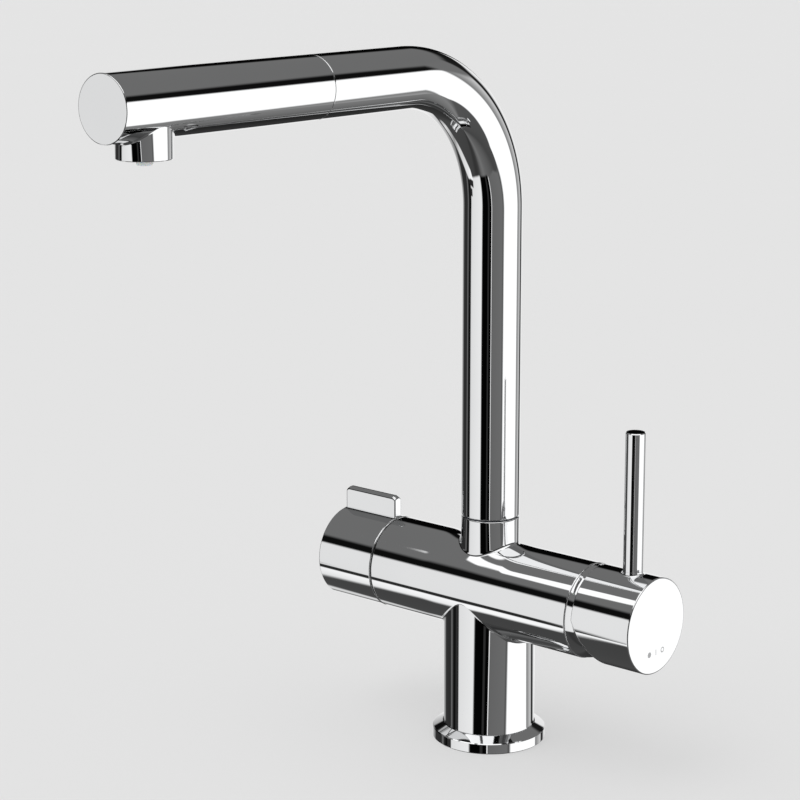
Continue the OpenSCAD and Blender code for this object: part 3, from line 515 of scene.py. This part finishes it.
def chrome_finish(name, tint=(0.79, 0.795, 0.8), haze=0.018, marks=None):
    """Mirror chrome on polished brass: a faint haze left by the wheel, and a very slight
    waviness of the polished metal. Etched marks are matt and grey."""
    material = bpy.data.materials.new(name)
    tree = new_tree(material)
    place = tree.node("TexCoord", out="Object")
    cloud = place.node("TexNoise", None, {"Vector": place, "Scale": 24.0, "Detail": 2.0})
    fine = place.node("TexNoise", None, {"Vector": place, "Scale": 900.0, "Detail": 2.0})
    rough = cloud.ramp(0.3, 0.75, haze, haze + 0.014) + (fine - 0.5) * 0.006
    wave = place.node("TexNoise", None, {"Vector": place, "Scale": 55.0, "Detail": 0.0})
    bump = wave.node("Bump", None, {"Strength": 0.02, "Distance": 0.0004, "Height": wave})
    shade = cloud.ramp(0.35, 0.7, 0.985, 1.0)
    if marks:
        etched = marks(place)
        rough = rough.into(0.38, etched)
        shade = shade.into(0.55, etched)
    colour = shade.node("CombineColor", None, {i: shade * part for i, part in enumerate(tint)})
    inputs = {"Base Color": colour, "Metallic": 1.0, "Roughness": rough, "Normal": bump}
    output(tree, tree.node("BsdfPrincipled", None, inputs))
    return material


column_r, barrel_r, collar_r = 22.1, 22.63, 14.0
barrel_z, mixer_end, filter_end = 76.45, 61.5, 57.2
column_foot, foot_r, collar_top = 7.5, 18.9, 111.4
column_ball, collar_ball = 2.5, 1.8
collar_soft, column_soft = 0.16, 0.04
turned_edge = 0.8
# The bores end at the middle part, which holds the collar and the column
middle = 27.0
cartridge_r, nut_r, nut_seat = 17.6, 19.5, 50.2
headwork_r, recess_r, recess_x = 10.5, 16.0, 46.0
swivel_r, swivel_floor = 11.0, 81.45
# Collar and column share the middle part's round between them at this turn
split = radians(72)

chrome = chrome_finish("mirror_chrome")
body_skin = Skin()
barrel = lengthways((0, 0, barrel_z))
# Both ends of the barrel with their bores, for the cartridge and for the valve headwork
turned(body_skin, [
    (barrel_r, middle), (barrel_r, mixer_end, turned_edge), (nut_r, mixer_end),
    (nut_r, nut_seat), (cartridge_r, nut_seat), (cartridge_r, middle), (0, middle),
], barrel)
turned(body_skin, [
    (0, -middle), (headwork_r, -middle), (headwork_r, -recess_x), (recess_r, -recess_x),
    (recess_r, -filter_end), (barrel_r, -filter_end, turned_edge), (barrel_r, -middle),
], barrel)
# The collar leaves the barrel's top and the column its underside, each with its fillet
foot_face_r = 17.0
steps = evenly(-middle, middle, 36)
for side, branch, ball, softness, sides, corners in (
    (1, collar_r, collar_ball, collar_soft, (-split, split), [
        (collar_r, collar_top, turned_edge),
        (swivel_r, collar_top), (swivel_r, swivel_floor), (0, swivel_floor),
    ]),
    (-1, column_r, column_ball, column_soft, (split, 2 * pi - split), [
        (column_r, column_foot), (foot_r, column_foot), (foot_r, 0), (foot_face_r, 0),
    ]),
):
    turn = 0 if side > 0 else pi
    turns = framed_hole(
        body_skin, barrel_r, barrel, steps, sides, turn, 0, branch, ball, softness, 16
    )
    branch_frame = (0, 0, barrel_z), (0, 0, side), (1, 0, 0), (0, -side, 0)
    curve = saddle(body_skin, branch, barrel_r, ball, turns, branch_frame, softness)
    corners = [(r, side * (z - barrel_z), *own_edge) for r, z, *own_edge in corners]
    turned(body_skin, corners, branch_frame, turns, start=curve)

# The foot's underside has a hole for the fixing stud and three hose ports. For each: its
# turn about the column, its radius and depth, and the radius of the water way above it
port_ring, port_steps, way_top = 11.5, 36, 60.0
ports = [
    (0, 3.4, 15.0, 0), (60, 4.5, 12.0, 3.0), (180, 4.5, 12.0, 3.0), (300, 4.5, 12.0, 3.0),
]
# A face whose middle lies within this share of a port's radius is left out
inside_share = 0.993
# The column came last, so these are the turns about it
flat_points = [Vector((foot_face_r * cos(a), foot_face_r * sin(a))) for a in turns]
flat_edges = [(i, (i + 1) % len(turns)) for i in range(len(turns))]
port_turns = [radians(360 / port_steps * i) for i in range(port_steps)]
port_rims = []
for turn, port_r, depth, way_r in ports:
    x, y = port_ring * cos(radians(turn)), port_ring * sin(radians(turn))
    port_rims.append((Vector((x, y)), port_r * inside_share))
    first = len(flat_points)
    flat_points += [Vector((x + port_r * cos(a), y + port_r * sin(a))) for a in port_turns]
    flat_edges += [(first + i, first + (i + 1) % port_steps) for i in range(port_steps)]
    bore = [(0, way_top), (way_r, way_top), (way_r, depth)] if way_r else [(0, depth)]
    bore += [(port_r, depth), (port_r, 0)]
    turned(body_skin, bore, upright((x, y, 0)), port_turns, edge=0)
flat = delaunay_2d_cdt(flat_points, flat_edges, [], 0, 1e-5)
for face in flat[2]:
    spots = [flat[0][i] for i in face]
    hub = sum(spots, Vector((0, 0))) / 3
    if any((hub - port_hub).length < reach for port_hub, reach in port_rims):
        continue
    ids = [body_skin.point((p.x, p.y, 0)) for p in spots]
    if (spots[1] - spots[0]).cross(spots[2] - spots[0]) > 0:
        ids.reverse()
    body_skin.faces.append(ids)
    body_skin.normals.append([np.array([0, 0, -1.0])] * 3)
body_skin.finish("tap_body_chrome", chrome, "body", ["tap_body"])


# --- Base ring ----------------------------------------------------------------------
# A turned brass ring with a conical top and a bright upright rim, chromed. It slips
# over the body's foot, and the groove in its underside holds the rubber seal.
base_r, rim_h, ring_bore_r, cone_r = 27.35, 5.2, 19.0, 22.5
groove_in, groove_out, groove_depth, rim_edge = 21.125, 25.125, 2.0, 0.4

ring_skin = Skin()
turned(ring_skin, [
    (ring_bore_r, 0), (groove_in, 0), (groove_in, groove_depth), (groove_out, groove_depth),
    (groove_out, 0), (base_r - rim_edge, 0), (base_r, rim_edge), (base_r, rim_h - rim_edge),
    (base_r - rim_edge, rim_h), (cone_r, column_foot), (ring_bore_r, column_foot),
    (ring_bore_r, 0),
], upright())
ring_skin.finish("base_ring_chrome", chrome, "body", ["base_ring"])


# --- Ball cap -----------------------------------------------------------------------
# A chromed brass shell, part of a ball round the handle's pivot, screwed into the
# barrel's end over the cartridge. It shows as a crescent in the handle's relief cut.
pivot_x, ball_r, ball_wall, cap_hole_r = 58.8, 22.39, 1.6, 13.6
skirt_r, skirt_bore_r, skirt_x, cap_rim, cap_floor = 19.3, 18.1, -1.5, 2.7, 4.1


def ball_arc(radius, low, high, steps=28):
    """Points on the ball from one height along the axis to another."""
    a, b = asin(low / radius), asin(high / radius)
    return [(radius * cos(t), radius * sin(t)) for t in evenly(a, b, steps)]


cap_inner_r = ball_r - ball_wall
cap_skin = Skin()
cap_outline = [(skirt_bore_r, skirt_x), (skirt_r, skirt_x), (skirt_r, cap_rim)]
cap_outline += ball_arc(ball_r, cap_rim, sqrt(ball_r**2 - cap_hole_r**2))
cap_outline += ball_arc(cap_inner_r, sqrt(cap_inner_r**2 - cap_hole_r**2), cap_floor)
cap_outline += [(skirt_bore_r, cap_floor), (skirt_bore_r, skirt_x)]
turned(cap_skin, cap_outline, lengthways((pivot_x, 0, barrel_z)))
cap_skin.finish("ball_cap_chrome", chrome, "body", ["ball_cap"])


# --- Mixer handle -------------------------------------------------------------------
# A solid brass drum, chromed, hollowed like a ball behind and cut slanting below so that
# it can tilt. A grub screw from below holds it on the lever, and a stub on top carries
# the rod. A dot, a line and a ring are etched on its flat end.
handle_rear, handle_end, knee, slant = 64.9, 97.1, 1.38, radians(25.5)
hollow_r, socket_r, socket_end = 22.74, 5.7, 90.3
rod_x, rod_r, rod_ball, stub_top, stub_soft = 83.45, 4.64, 0.9, 23.93, 0.2
stud_bore_r, stud_bore_l, stub_edge = 3.04, 8.8, 0.06
grub_x, grub_r, grub_floor = 85.65, 2.5, -10.0
plane_gap = handle_rear - pivot_x
rear_edge_r, rear_steps, hollow_steps = 0.5, 6, 16
mark_drop, mark_gap, mark_r, mark_w, mark_blur = 12.5, 5.2, 1.35, 0.5, 0.06

# The stub and the grub screw's hole lie in a band round the drum, each within its sides.
# The places are those of the turns round the drum, where the knee has one of its own
band = evenly(77.5, 89.4, 8)
top_at, grub_at, knee_at = 12, 78, 43
knee_back = round_steps - knee_at
top_side, grub_side = full_turn[top_at], full_turn[grub_at]

handle_skin = Skin()
knee_turn = acos(knee / barrel_r)
handle_skin.turns[knee_at], handle_skin.turns[knee_back] = knee_turn, 2 * pi - knee_turn
rounds = handle_skin.turns
pivot = np.array([pivot_x, 0, barrel_z])
level, slope = np.array([1.0, 0, 0]), np.array([cos(slant), 0, sin(slant)])


def on_barrel(x, r, turn):
    """The point at this turn round the barrel's axis."""
    return x, -r * sin(turn), barrel_z + r * cos(turn)


def rear_edge(turn):
    """The rear edge's point at this turn, and the inner one on the hollow's ball."""
    z = barrel_r * cos(turn)
    above = z >= knee - 1e-6
    rear = handle_rear + max(0, knee - z) * tan(slant)
    outer = np.array(on_barrel(rear, barrel_r, turn))
    facing = level if above else slope
    hub = pivot + facing * plane_gap
    inner_r = sqrt(hollow_r**2 - plane_gap**2)
    up = np.array([-facing[2], 0, facing[0]])
    reach = outer - hub
    spin = atan2(reach[1], reach @ up)
    knee_up = plane_gap * tan(slant / 2)
    knee_spin = atan2(sqrt(barrel_r**2 - knee**2), knee if above else knee_up)
    knee_in = acos(knee_up / inner_r)
    if above:
        spin *= knee_in / knee_spin
    else:
        away = pi - abs(spin)
        spin = copysign(pi - away * (pi - knee_in) / (pi - knee_spin), spin)
    return outer, hub + inner_r * (up * cos(spin) + np.array([0, sin(spin), 0]))


edges = [rear_edge(t) for t in rounds]
spokes = [np.array([0, -sin(t), cos(t)]) for t in rounds]
lip = [np.array(on_barrel(band[0], barrel_r, t)) for t in rounds]
upper = [*range(knee_back, round_steps), *range(knee_at + 1)]
lower = list(range(knee_at, knee_back + 1))
for part, facing in ((upper, level), (lower, slope)):
    rows, ways = [[lip[i] for i in part]], [[spokes[i] for i in part]]
    for step in range(rear_steps + 1):
        share, row, way = step / rear_steps, [], []
        for i in part:
            outer, inner = edges[i]
            inward = (inner - outer) / np.linalg.norm(inner - outer)
            on_side = outer + rear_edge_r * level * (1 - share)
            on_face = outer + rear_edge_r * inward * share
            row.append(on_side * (1 - share) + on_face * share)
            way.append(between(spokes[i], -facing, share))
        rows.append(row)
        ways.append(way)
    rows.append([edges[i][1] for i in part])
    ways.append([-facing for _ in part])
    handle_skin.sheet(rows, ways)
inner_ways = [(inner - pivot) / hollow_r for _, inner in edges]
mouth = socket_r / hollow_r
mouth_ways = [np.array([sqrt(1 - mouth**2), *(s[1:] * mouth)]) for s in spokes]
hollow = []
for step in range(hollow_steps + 1):
    share = step / hollow_steps
    blend = [a * (1 - share) + b * share for a, b in zip(inner_ways, mouth_ways)]
    hollow.append([w / np.linalg.norm(w) for w in blend])
handle_skin.sheet(
    [[pivot + w * hollow_r for w in row] for row in hollow],
    [[-w for w in row] for row in hollow],
    closed=True,
)
turned(handle_skin, [
    (0, socket_end), (socket_r, socket_end), (socket_r, pivot_x + hollow_r * sqrt(1 - mouth**2)),
], barrel, rounds, edge=0)
turned(handle_skin, [
    (barrel_r, band[-1]), (barrel_r, handle_end, turned_edge), (0, handle_end),
], barrel, rounds)
band_rows = [(barrel_r, x) for x in band]
for low, high in ((top_at, grub_at), (round_steps - grub_at, round_steps - top_at)):
    turned(handle_skin, band_rows, barrel, rounds[low:high + 1], closed=False)
turns = framed_hole(
    handle_skin, barrel_r, barrel, band, (-top_side, top_side), 0, rod_x, rod_r, rod_ball,
    stub_soft,
)
stub_frame = (rod_x, 0, barrel_z), (0, 0, 1), (1, 0, 0), (0, -1, 0)
curve = saddle(handle_skin, rod_r, barrel_r, rod_ball, turns, stub_frame, stub_soft)
turned(handle_skin, [
    (rod_r, stub_top), (stud_bore_r, stub_top), (stud_bore_r, stub_top - stud_bore_l),
    (0, stub_top - stud_bore_l),
], stub_frame, turns, edge=stub_edge, start=curve)


def drilled(skin, steps, sides, hole_x, hole_r, floor):
    """A hole drilled up into a bar's underside as far as its floor."""
    turns = framed_hole(skin, barrel_r, barrel, steps, sides, pi, hole_x, hole_r)
    rim = []
    for a in turns:
        side = hole_r * sin(a)
        rim.append((hole_x + hole_r * cos(a), side, barrel_z - sqrt(barrel_r**2 - side**2)))
    inward = [(-cos(a), -sin(a), 0) for a in turns]
    deep = [(x, y, barrel_z + floor) for x, y, _ in rim]
    skin.sheet([rim, deep], [inward, inward], closed=True)
    centre = [(hole_x, 0, barrel_z + floor)] * len(turns)
    skin.sheet([deep, centre], [[(0, 0, -1)] * len(turns)] * 2, closed=True)


drilled(handle_skin, band, (grub_side, 2 * pi - grub_side), grub_x, grub_r, grub_floor)


def face_marks(place):
    """A dot and a ring on either side of a short line, etched low on the handle's flat
    end, for the warm and the cold way."""
    x, y, z = (place.node("SeparateXYZ", None, {0: place}, i) / MM for i in range(3))
    z = z - (barrel_z - mark_drop)

    def within(reach, size):
        return 1 - reach.ramp(size - mark_blur, size + mark_blur)

    def away(side):
        return place.maths("SQRT", (y - side) * (y - side) + z * z)

    dot = within(away(-mark_gap), mark_r)
    ring = within(place.maths("ABSOLUTE", away(mark_gap) - (mark_r - mark_w / 2)), mark_w / 2)
    line = within(place.maths("ABSOLUTE", y), mark_w / 2)
    line = line * within(place.maths("ABSOLUTE", z), mark_r)
    every = place.maths("MAXIMUM", place.maths("MAXIMUM", dot, ring), line)
    return every * x.ramp(handle_end - 0.1, handle_end - 0.05)


handle_chrome = chrome_finish("marked_mirror_chrome", marks=face_marks)
handle_skin.finish("mixer_handle_chrome", handle_chrome, "lever", ["mixer_handle"])


# --- Lever rod ----------------------------------------------------------------------
# A turned brass rod, chromed, with a fine chamfer on top. Its stud screws into the
# handle's stub, where a hairline shows between the two.
rod_foot, rod_top, stud_r, stud_l, rod_edge = 100.38, 165.58, 2.94, 8.5, 0.4

rod_skin = Skin()
turned(rod_skin, [
    (0, rod_foot - stud_l), (stud_r, rod_foot - stud_l), (stud_r, rod_foot),
    (rod_r, rod_foot), (rod_r, rod_top - rod_edge), (rod_r - rod_edge, rod_top), (0, rod_top),
], upright((rod_x, 0, 0)), edge=stub_edge)
rod_skin.finish("lever_rod_chrome", chrome, "lever", ["lever_rod"])


# --- Filter knob --------------------------------------------------------------------
# A hollow brass drum, chromed, with a fin milled along its top. Its hub sits on the
# valve's spindle, where a grub screw from below holds it.
knob_near, knob_far, knob_edge = -57.7, -91.6, 0.65
fin_half, fin_top, fin_corner = 2.5, 33.63, 0.8
knob_bore_r, knob_floor, hub_r, hub_inset = 19.13, -88.1, 8.0, 0.5
spindle_r, spindle_l = 4.1, 9.3
knob_grub_x, knob_grub_floor = -62.7, -9.0
fin_near, fin_far = knob_near - knob_edge, knob_far + knob_edge

# The drum's turns, apart from the fin's foot on top, and those beside the screw's hole
fin_gap, grub_low, grub_high = 4, 80, 100
columns = full_turn[fin_gap:round_steps - fin_gap + 1]
below, beyond = grub_low - fin_gap + 2, grub_high - fin_gap + 1
# A quarter turn for each rounded edge, and a half turn over the fin's round top
curve_step = 7.5
bends = [radians(curve_step * i) for i in range(13)]
leans = [radians(curve_step * i - 90) for i in range(25)]

knob_skin = Skin()


def drum_edge(end, inward):
    """Rows over the drum's rounded edge, from its end face to its side."""
    r, x = barrel_r - knob_edge, end + inward * knob_edge
    return [
        (r + knob_edge * sin(t), x - inward * knob_edge * cos(t), sin(t), -inward * cos(t))
        for t in bends
    ]


far_edge, near_edge = drum_edge(knob_far, 1), drum_edge(knob_near, -1)
corner_steps = [fin_half - (fin_half - fin_corner) * cos(t) for t in bends]
fin_middle = evenly(-66.5, -61.98, 4)
knob_grub = fin_middle + [fin_near - step for step in reversed(corner_steps)]
fin_steps = [fin_far + step for step in corner_steps] + knob_grub
side_rows = [(barrel_r, x, 1, 0) for x in fin_steps]


def knob_turns(radius):
    """The turns round the drum from one side of the fin to the other."""
    foot = asin(fin_half / radius)
    return [foot, *columns, 2 * pi - foot]


def knob_sheet(rows, low=None, high=None):
    """A sheet of the drum, all round or between two of its turns."""
    points, normals = [], []
    for r, x, nr, nh in rows:
        turns = knob_turns(r)[low:high]
        points.append([on_barrel(x, r, t) for t in turns])
        normals.append([(nh, -nr * sin(t), nr * cos(t)) for t in turns])
    knob_skin.sheet(points, normals)


far_rows, grub_rows = side_rows[:len(bends) + 1], side_rows[len(bends):]
knob_sheet([*far_edge, *far_rows])
knob_sheet([side_rows[-1], *reversed(near_edge)])
knob_sheet(grub_rows, 0, below)
knob_sheet(grub_rows, beyond)
grub_sides = full_turn[grub_low], full_turn[grub_high]
drilled(knob_skin, knob_grub, grub_sides, knob_grub_x, grub_r, knob_grub_floor)


# The fin is a bar with a full-round top. The same round leads over to its flat ends,
# which have small rounded edges
def fin_end(bend, lean, way):
    """A point of the fin's end from its hub, and the normal there."""
    past = max(0.0, fin_half * abs(sin(lean)) - (fin_half - fin_corner))
    root = sqrt(max(0.0, fin_corner**2 - past**2))
    reach = fin_half - fin_corner + root
    spot = (way * reach * cos(bend), fin_half * sin(lean), fin_half * cos(lean) * sin(bend))
    if root < 1e-6 or cos(lean) < 1e-6:
        return spot, (0, sin(lean), 0)
    change = -past * fin_half * cos(lean) * copysign(1, lean) / root
    across = reach * tan(lean) * sin(bend) ** 2 - change * cos(bend) ** 2
    return spot, (way * fin_half * cos(lean) * cos(bend), across, reach * sin(bend))


fin_rows, fin_ways = [], []
for end, way in ((fin_far, -1), (fin_near, 1)):
    hub = np.array([end - way * fin_half, 0, barrel_z + fin_top - fin_half])
    ends = [[fin_end(t, u, way) for u in leans] for t in bends]
    rows = [[hub + spot for spot, _ in row] for row in ends]
    ways = [[np.array(n) / np.linalg.norm(n) for _, n in row] for row in ends]
    foot = [np.array([x, y, barrel_z + sqrt(barrel_r**2 - y * y)]) for x, y, _ in rows[0]]
    rows.insert(0, foot)
    ways.insert(0, ways[0])
    # A strip of the drum lies between the round foot and the drum's edge
    strip = [foot]
    strip_ways = [[(0, y / barrel_r, (z - barrel_z) / barrel_r) for x, y, z in foot]]
    for r, x, nr, nh in reversed(far_edge if way < 0 else near_edge):
        strip.append([(x, y, barrel_z + sqrt(r * r - y * y)) for _, y, _ in foot])
        strip_ways.append([(nh, nr * y / r, nr * sqrt(r * r - y * y) / r) for _, y, _ in foot])
    knob_skin.sheet(strip, strip_ways)
    if way > 0:
        middle_rows = [[np.array([x, *point[1:]]) for point in fin_rows[-1]] for x in fin_middle]
        fin_rows += middle_rows
        fin_ways += [fin_ways[-1]] * len(middle_rows)
        rows.reverse()
        ways.reverse()
    fin_rows += rows
    fin_ways += ways
knob_skin.sheet(fin_rows, fin_ways)
for y in (-fin_half, fin_half):
    foot_z, top_z = barrel_z + sqrt(barrel_r**2 - fin_half**2), barrel_z + fin_top - fin_half
    side = [[(x, y, z) for x in fin_steps] for z in (foot_z, top_z)]
    knob_skin.sheet(side, [[(0, y, 0)] * len(fin_steps)] * 2)

# Both end faces, and the hollow with the hub
face_r = barrel_r - knob_edge
face_turns = knob_turns(face_r)
face_turns += [-asin(fin_half * sin(u) / face_r) for u in reversed(leans[1:-1])]
far_rim, near_rim, bore_rim = (
    [on_barrel(x, r, t) for t in face_turns]
    for x, r in ((knob_far, face_r), (knob_near, face_r), (knob_near, knob_bore_r))
)
far_centre = [(knob_far, 0, barrel_z)] * len(face_turns)
for rows, way in (([far_rim, far_centre], -1), ([near_rim, bore_rim], 1)):
    knob_skin.sheet(rows, [[(way, 0, 0)] * len(face_turns)] * 2, closed=True)
turned(knob_skin, [
    (knob_bore_r, knob_near), (knob_bore_r, knob_floor), (hub_r, knob_floor),
    (hub_r, knob_near - hub_inset), (spindle_r, knob_near - hub_inset),
    (spindle_r, knob_near - spindle_l), (0, knob_near - spindle_l),
], barrel, face_turns, edge=0)
knob_skin.finish("filter_knob_chrome", chrome, "filter_handle", ["filter_knob"])


# --- Spout tube ---------------------------------------------------------------------
# One drawn brass tube of 28 mm, bent once over a mandrel, polished and chromed. It
# turns in the collar on the spigot that is brazed into its foot.
tube_r, tube_bore_r, tube_foot, tube_edge = 14.0, 12.5, 112.0, 0.5
arm_z, elbow_r, seam_y = 325.3, 64.9, 124.2
elbow_step, seam_edge = 1.5, 0.08


def along_spout(skin, radius, outward, low, high):
    """The tube's outer or inner wall, from a height on the riser to a place on the arm."""
    stations = [((0, 0, low), 0), ((0, 0, arm_z - elbow_r), 0)]
    for i in range(1, round(90 / elbow_step)):
        bend = radians(elbow_step * i)
        place = (0, -elbow_r * (1 - cos(bend)), arm_z - elbow_r * (1 - sin(bend)))
        stations.append((place, bend))
    stations += [((0, -elbow_r, arm_z), pi / 2), ((0, -high, arm_z), pi / 2)]
    points, normals = [], []
    for place, bend in stations:
        across = np.array([0, cos(bend), sin(bend)])
        spokes = [np.array([cos(t), 0, 0]) + across * sin(t) for t in full_turn]
        points.append([np.array(place) + s * radius for s in spokes])
        normals.append([s * outward for s in spokes])
    skin.sheet(points, normals, closed=True)


tube_skin = Skin()
along_spout(tube_skin, tube_r, 1, tube_foot + lead, seam_y - lead)
along_spout(tube_skin, tube_bore_r, -1, tube_foot + lead, seam_y - lead)
turned(tube_skin, [
    (tube_bore_r, tube_foot + lead), (tube_bore_r, tube_foot), (tube_r, tube_foot, tube_edge),
    (tube_r, tube_foot + lead),
], upright())
arm = (0, 0, arm_z), (0, -1, 0), (1, 0, 0), (0, 0, 1)
turned(tube_skin, [
    (tube_r, seam_y - lead), (tube_r, seam_y, tube_edge), (tube_bore_r, seam_y),
    (tube_bore_r, seam_y - lead),
], arm, edge=seam_edge)
tube_skin.finish("spout_tube_chrome", chrome, "spout", ["spout_tube"])


# --- Spout end ----------------------------------------------------------------------
# A brass end piece, chromed, that plugs into the tube at the hairline seam. Its nozzle
# leaves the underside with a small fillet and holds the aerator.
arm_end, start_edge, end_edge = 242.6, 0.3, 0.5
plug_r, plug_bore_r, plug_start, plug_edge = 12.4, 10.2, 113.2, 0.6
nozzle_y, nozzle_r, nozzle_drop, nozzle_ball, nozzle_edge = 221.0, 11.57, 21.2, 1.2, 0.3
nozzle_bore_r, throat_r, nozzle_step, throat_end = 9.52, 7.22, 10.8, 3.0
nozzle_soft = 0.08
cavity_r, cavity_end = 12.0, 205.0
# The nozzle leaves from a band of the arm, between these two of its turns
nozzle_at = 35
nozzle_side = full_turn[nozzle_at]
end_band = evenly(206.5, 235.5, 20)

end_skin = Skin()
under_arm = (0, 0, arm_z), (0, -1, 0), (0, 0, -1), (1, 0, 0)
turned(end_skin, [
    (plug_bore_r, plug_start), (plug_r - plug_edge, plug_start),
    (plug_r, plug_start + plug_edge), (plug_r, seam_y), (tube_r, seam_y, start_edge),
    (tube_r, end_band[0]),
], under_arm, edge=seam_edge)
turned(end_skin, [
    (tube_r, end_band[-1]), (tube_r, arm_end, end_edge), (0, arm_end),
], under_arm)
over_turns = full_turn[nozzle_at:round_steps - nozzle_at + 1]
turned(end_skin, [(tube_r, y) for y in end_band], under_arm, over_turns, closed=False)
turns = framed_hole(
    end_skin, tube_r, under_arm, end_band, (-nozzle_side, nozzle_side), 0, nozzle_y, nozzle_r,
    nozzle_ball, nozzle_soft,
)
nozzle = (0, -nozzle_y, arm_z), (0, 0, -1), (0, -1, 0), (1, 0, 0)
curve = saddle(end_skin, nozzle_r, tube_r, nozzle_ball, turns, nozzle, nozzle_soft)
turned(end_skin, [
    (nozzle_r, nozzle_drop - nozzle_edge), (nozzle_r - nozzle_edge, nozzle_drop),
    (nozzle_bore_r, nozzle_drop), (nozzle_bore_r, nozzle_step), (throat_r, nozzle_step),
    (throat_r, throat_end), (0, throat_end),
], nozzle, turns, start=curve)
# The hidden way for the water ends before the nozzle
turned(end_skin, [
    (0, cavity_end), (cavity_r, cavity_end), (cavity_r, seam_y), (plug_bore_r, seam_y),
    (plug_bore_r, plug_start),
], under_arm, edge=0)
end_skin.finish("spout_end_chrome", chrome, "spout", ["spout_end"])


# --- Filtered outlet and water tube -------------------------------------------------
# The filtered water has a way of its own: a milky silicone hose through the whole
# spout, and a moulded silicone tip that shows in the middle of the nozzle.


def plain_finish(name, colour, rough, change=0.04, scale=60.0, bump=0.02, fine=700.0, **shine):
    """A finish with a slight drift of its shade, and a fine grain from the mould or
    the tool. What else it takes is set on the shader itself."""
    material = bpy.data.materials.new(name)
    tree = new_tree(material)
    place = tree.node("TexCoord", out="Object")
    drift = place.node("TexNoise", None, {"Vector": place, "Scale": scale, "Detail": 3.0})
    grain = place.node("TexNoise", None, {"Vector": place, "Scale": fine, "Detail": 2.0})
    shade = drift.ramp(0.3, 0.7, 1 - change, 1.0)
    tone = shade.node("CombineColor", None, {i: shade * part for i, part in enumerate(colour)})
    bumps = {"Strength": bump, "Distance": 0.0003, "Height": grain}
    inputs = {
        "Base Color": tone,
        "Roughness": drift.ramp(0.3, 0.7, rough * 0.9, rough * 1.1),
        "Normal": grain.node("Bump", None, bumps),
    }
    output(tree, tree.node("BsdfPrincipled", None, {**inputs, **shine}))
    return material


def dress(material, *nodes):
    """Gives CAD nodes, which keep their shape, a finish."""
    for node in nodes:
        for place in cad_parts[node].material_slots:
            place.material = material


milky_silicone = plain_finish(
    "milky_silicone", (0.86, 0.87, 0.86), 0.3, **{"Subsurface Weight": 0.3, "IOR": 1.41}
)
dress(milky_silicone, "filtered_outlet", "inner_water_tube")


# --- Rubber seals -------------------------------------------------------------------
# Moulded nitrile rings: one flat seal in the base ring, and O-rings on every joint
# that holds water. They have a dull skin with a faint bloom.
nitrile_rubber = plain_finish("nitrile_rubber", (0.022, 0.022, 0.024), 0.55, 0.25, 90.0, 0.08)
dress(
    nitrile_rubber, "base_seal", "cartridge_seals", "headwork_seal", "swivel_o_rings",
    "spout_end_o_ring", "inner_tube_o_ring", "aerator_seal",
)


# --- Cartridge and valve mouldings --------------------------------------------------
# Injection-moulded parts: natural white nylon for the housings, dark acetal for the
# rotor, the disc's carrier and the glide ring under the spout.
white_nylon = plain_finish(
    "white_nylon", (0.78, 0.78, 0.72), 0.42, 0.05, 70.0, 0.05, **{"Subsurface Weight": 0.08}
)
dress(white_nylon, "cartridge_base", "cartridge_housing", "aerator_housing")
dark_acetal = plain_finish("dark_acetal", (0.035, 0.04, 0.05), 0.38, 0.12, 80.0, 0.04)
dress(dark_acetal, "disc_carrier", "cartridge_rotor", "swivel_glide_ring")


# --- Ceramic discs ------------------------------------------------------------------
# Fired alumina, lapped flat on the faces that slide on each other, two discs in the
# cartridge and two in the quarter-turn valve.
lapped_alumina = plain_finish(
    "lapped_alumina", (0.84, 0.79, 0.7), 0.22, 0.05, 140.0, 0.02, 1500.0,
    **{"Coat Weight": 0.3, "Coat Roughness": 0.1},
)
dress(lapped_alumina, "fixed_disc", "moving_disc", "valve_fixed_disc", "valve_moving_disc")


# --- Steel parts --------------------------------------------------------------------
# Stainless steel, left plain: the cartridge's lever and its pin, both grub screws, the
# spring ring under the swivel, and the aerator's etched screen.
plain_steel = plain_finish(
    "plain_steel", (0.52, 0.53, 0.55), 0.28, 0.1, 120.0, 0.05, 1200.0, Metallic=1.0
)
dress(
    plain_steel, "cartridge_lever", "lever_pivot_pin", "handle_grub_screw",
    "knob_grub_screw", "swivel_snap_ring", "aerator_screen",
)


# --- Brass turnings -----------------------------------------------------------------
# Unplated brass that the outside never shows: the nut over the cartridge, the valve's
# headwork and spindle, and the spigot on which the spout swivels.
turned_brass = plain_finish(
    "turned_brass", (0.74, 0.55, 0.25), 0.26, 0.14, 110.0, 0.06, 1100.0, Metallic=1.0
)
dress(turned_brass, "cartridge_nut", "headwork_body", "valve_spindle", "swivel_spigot")
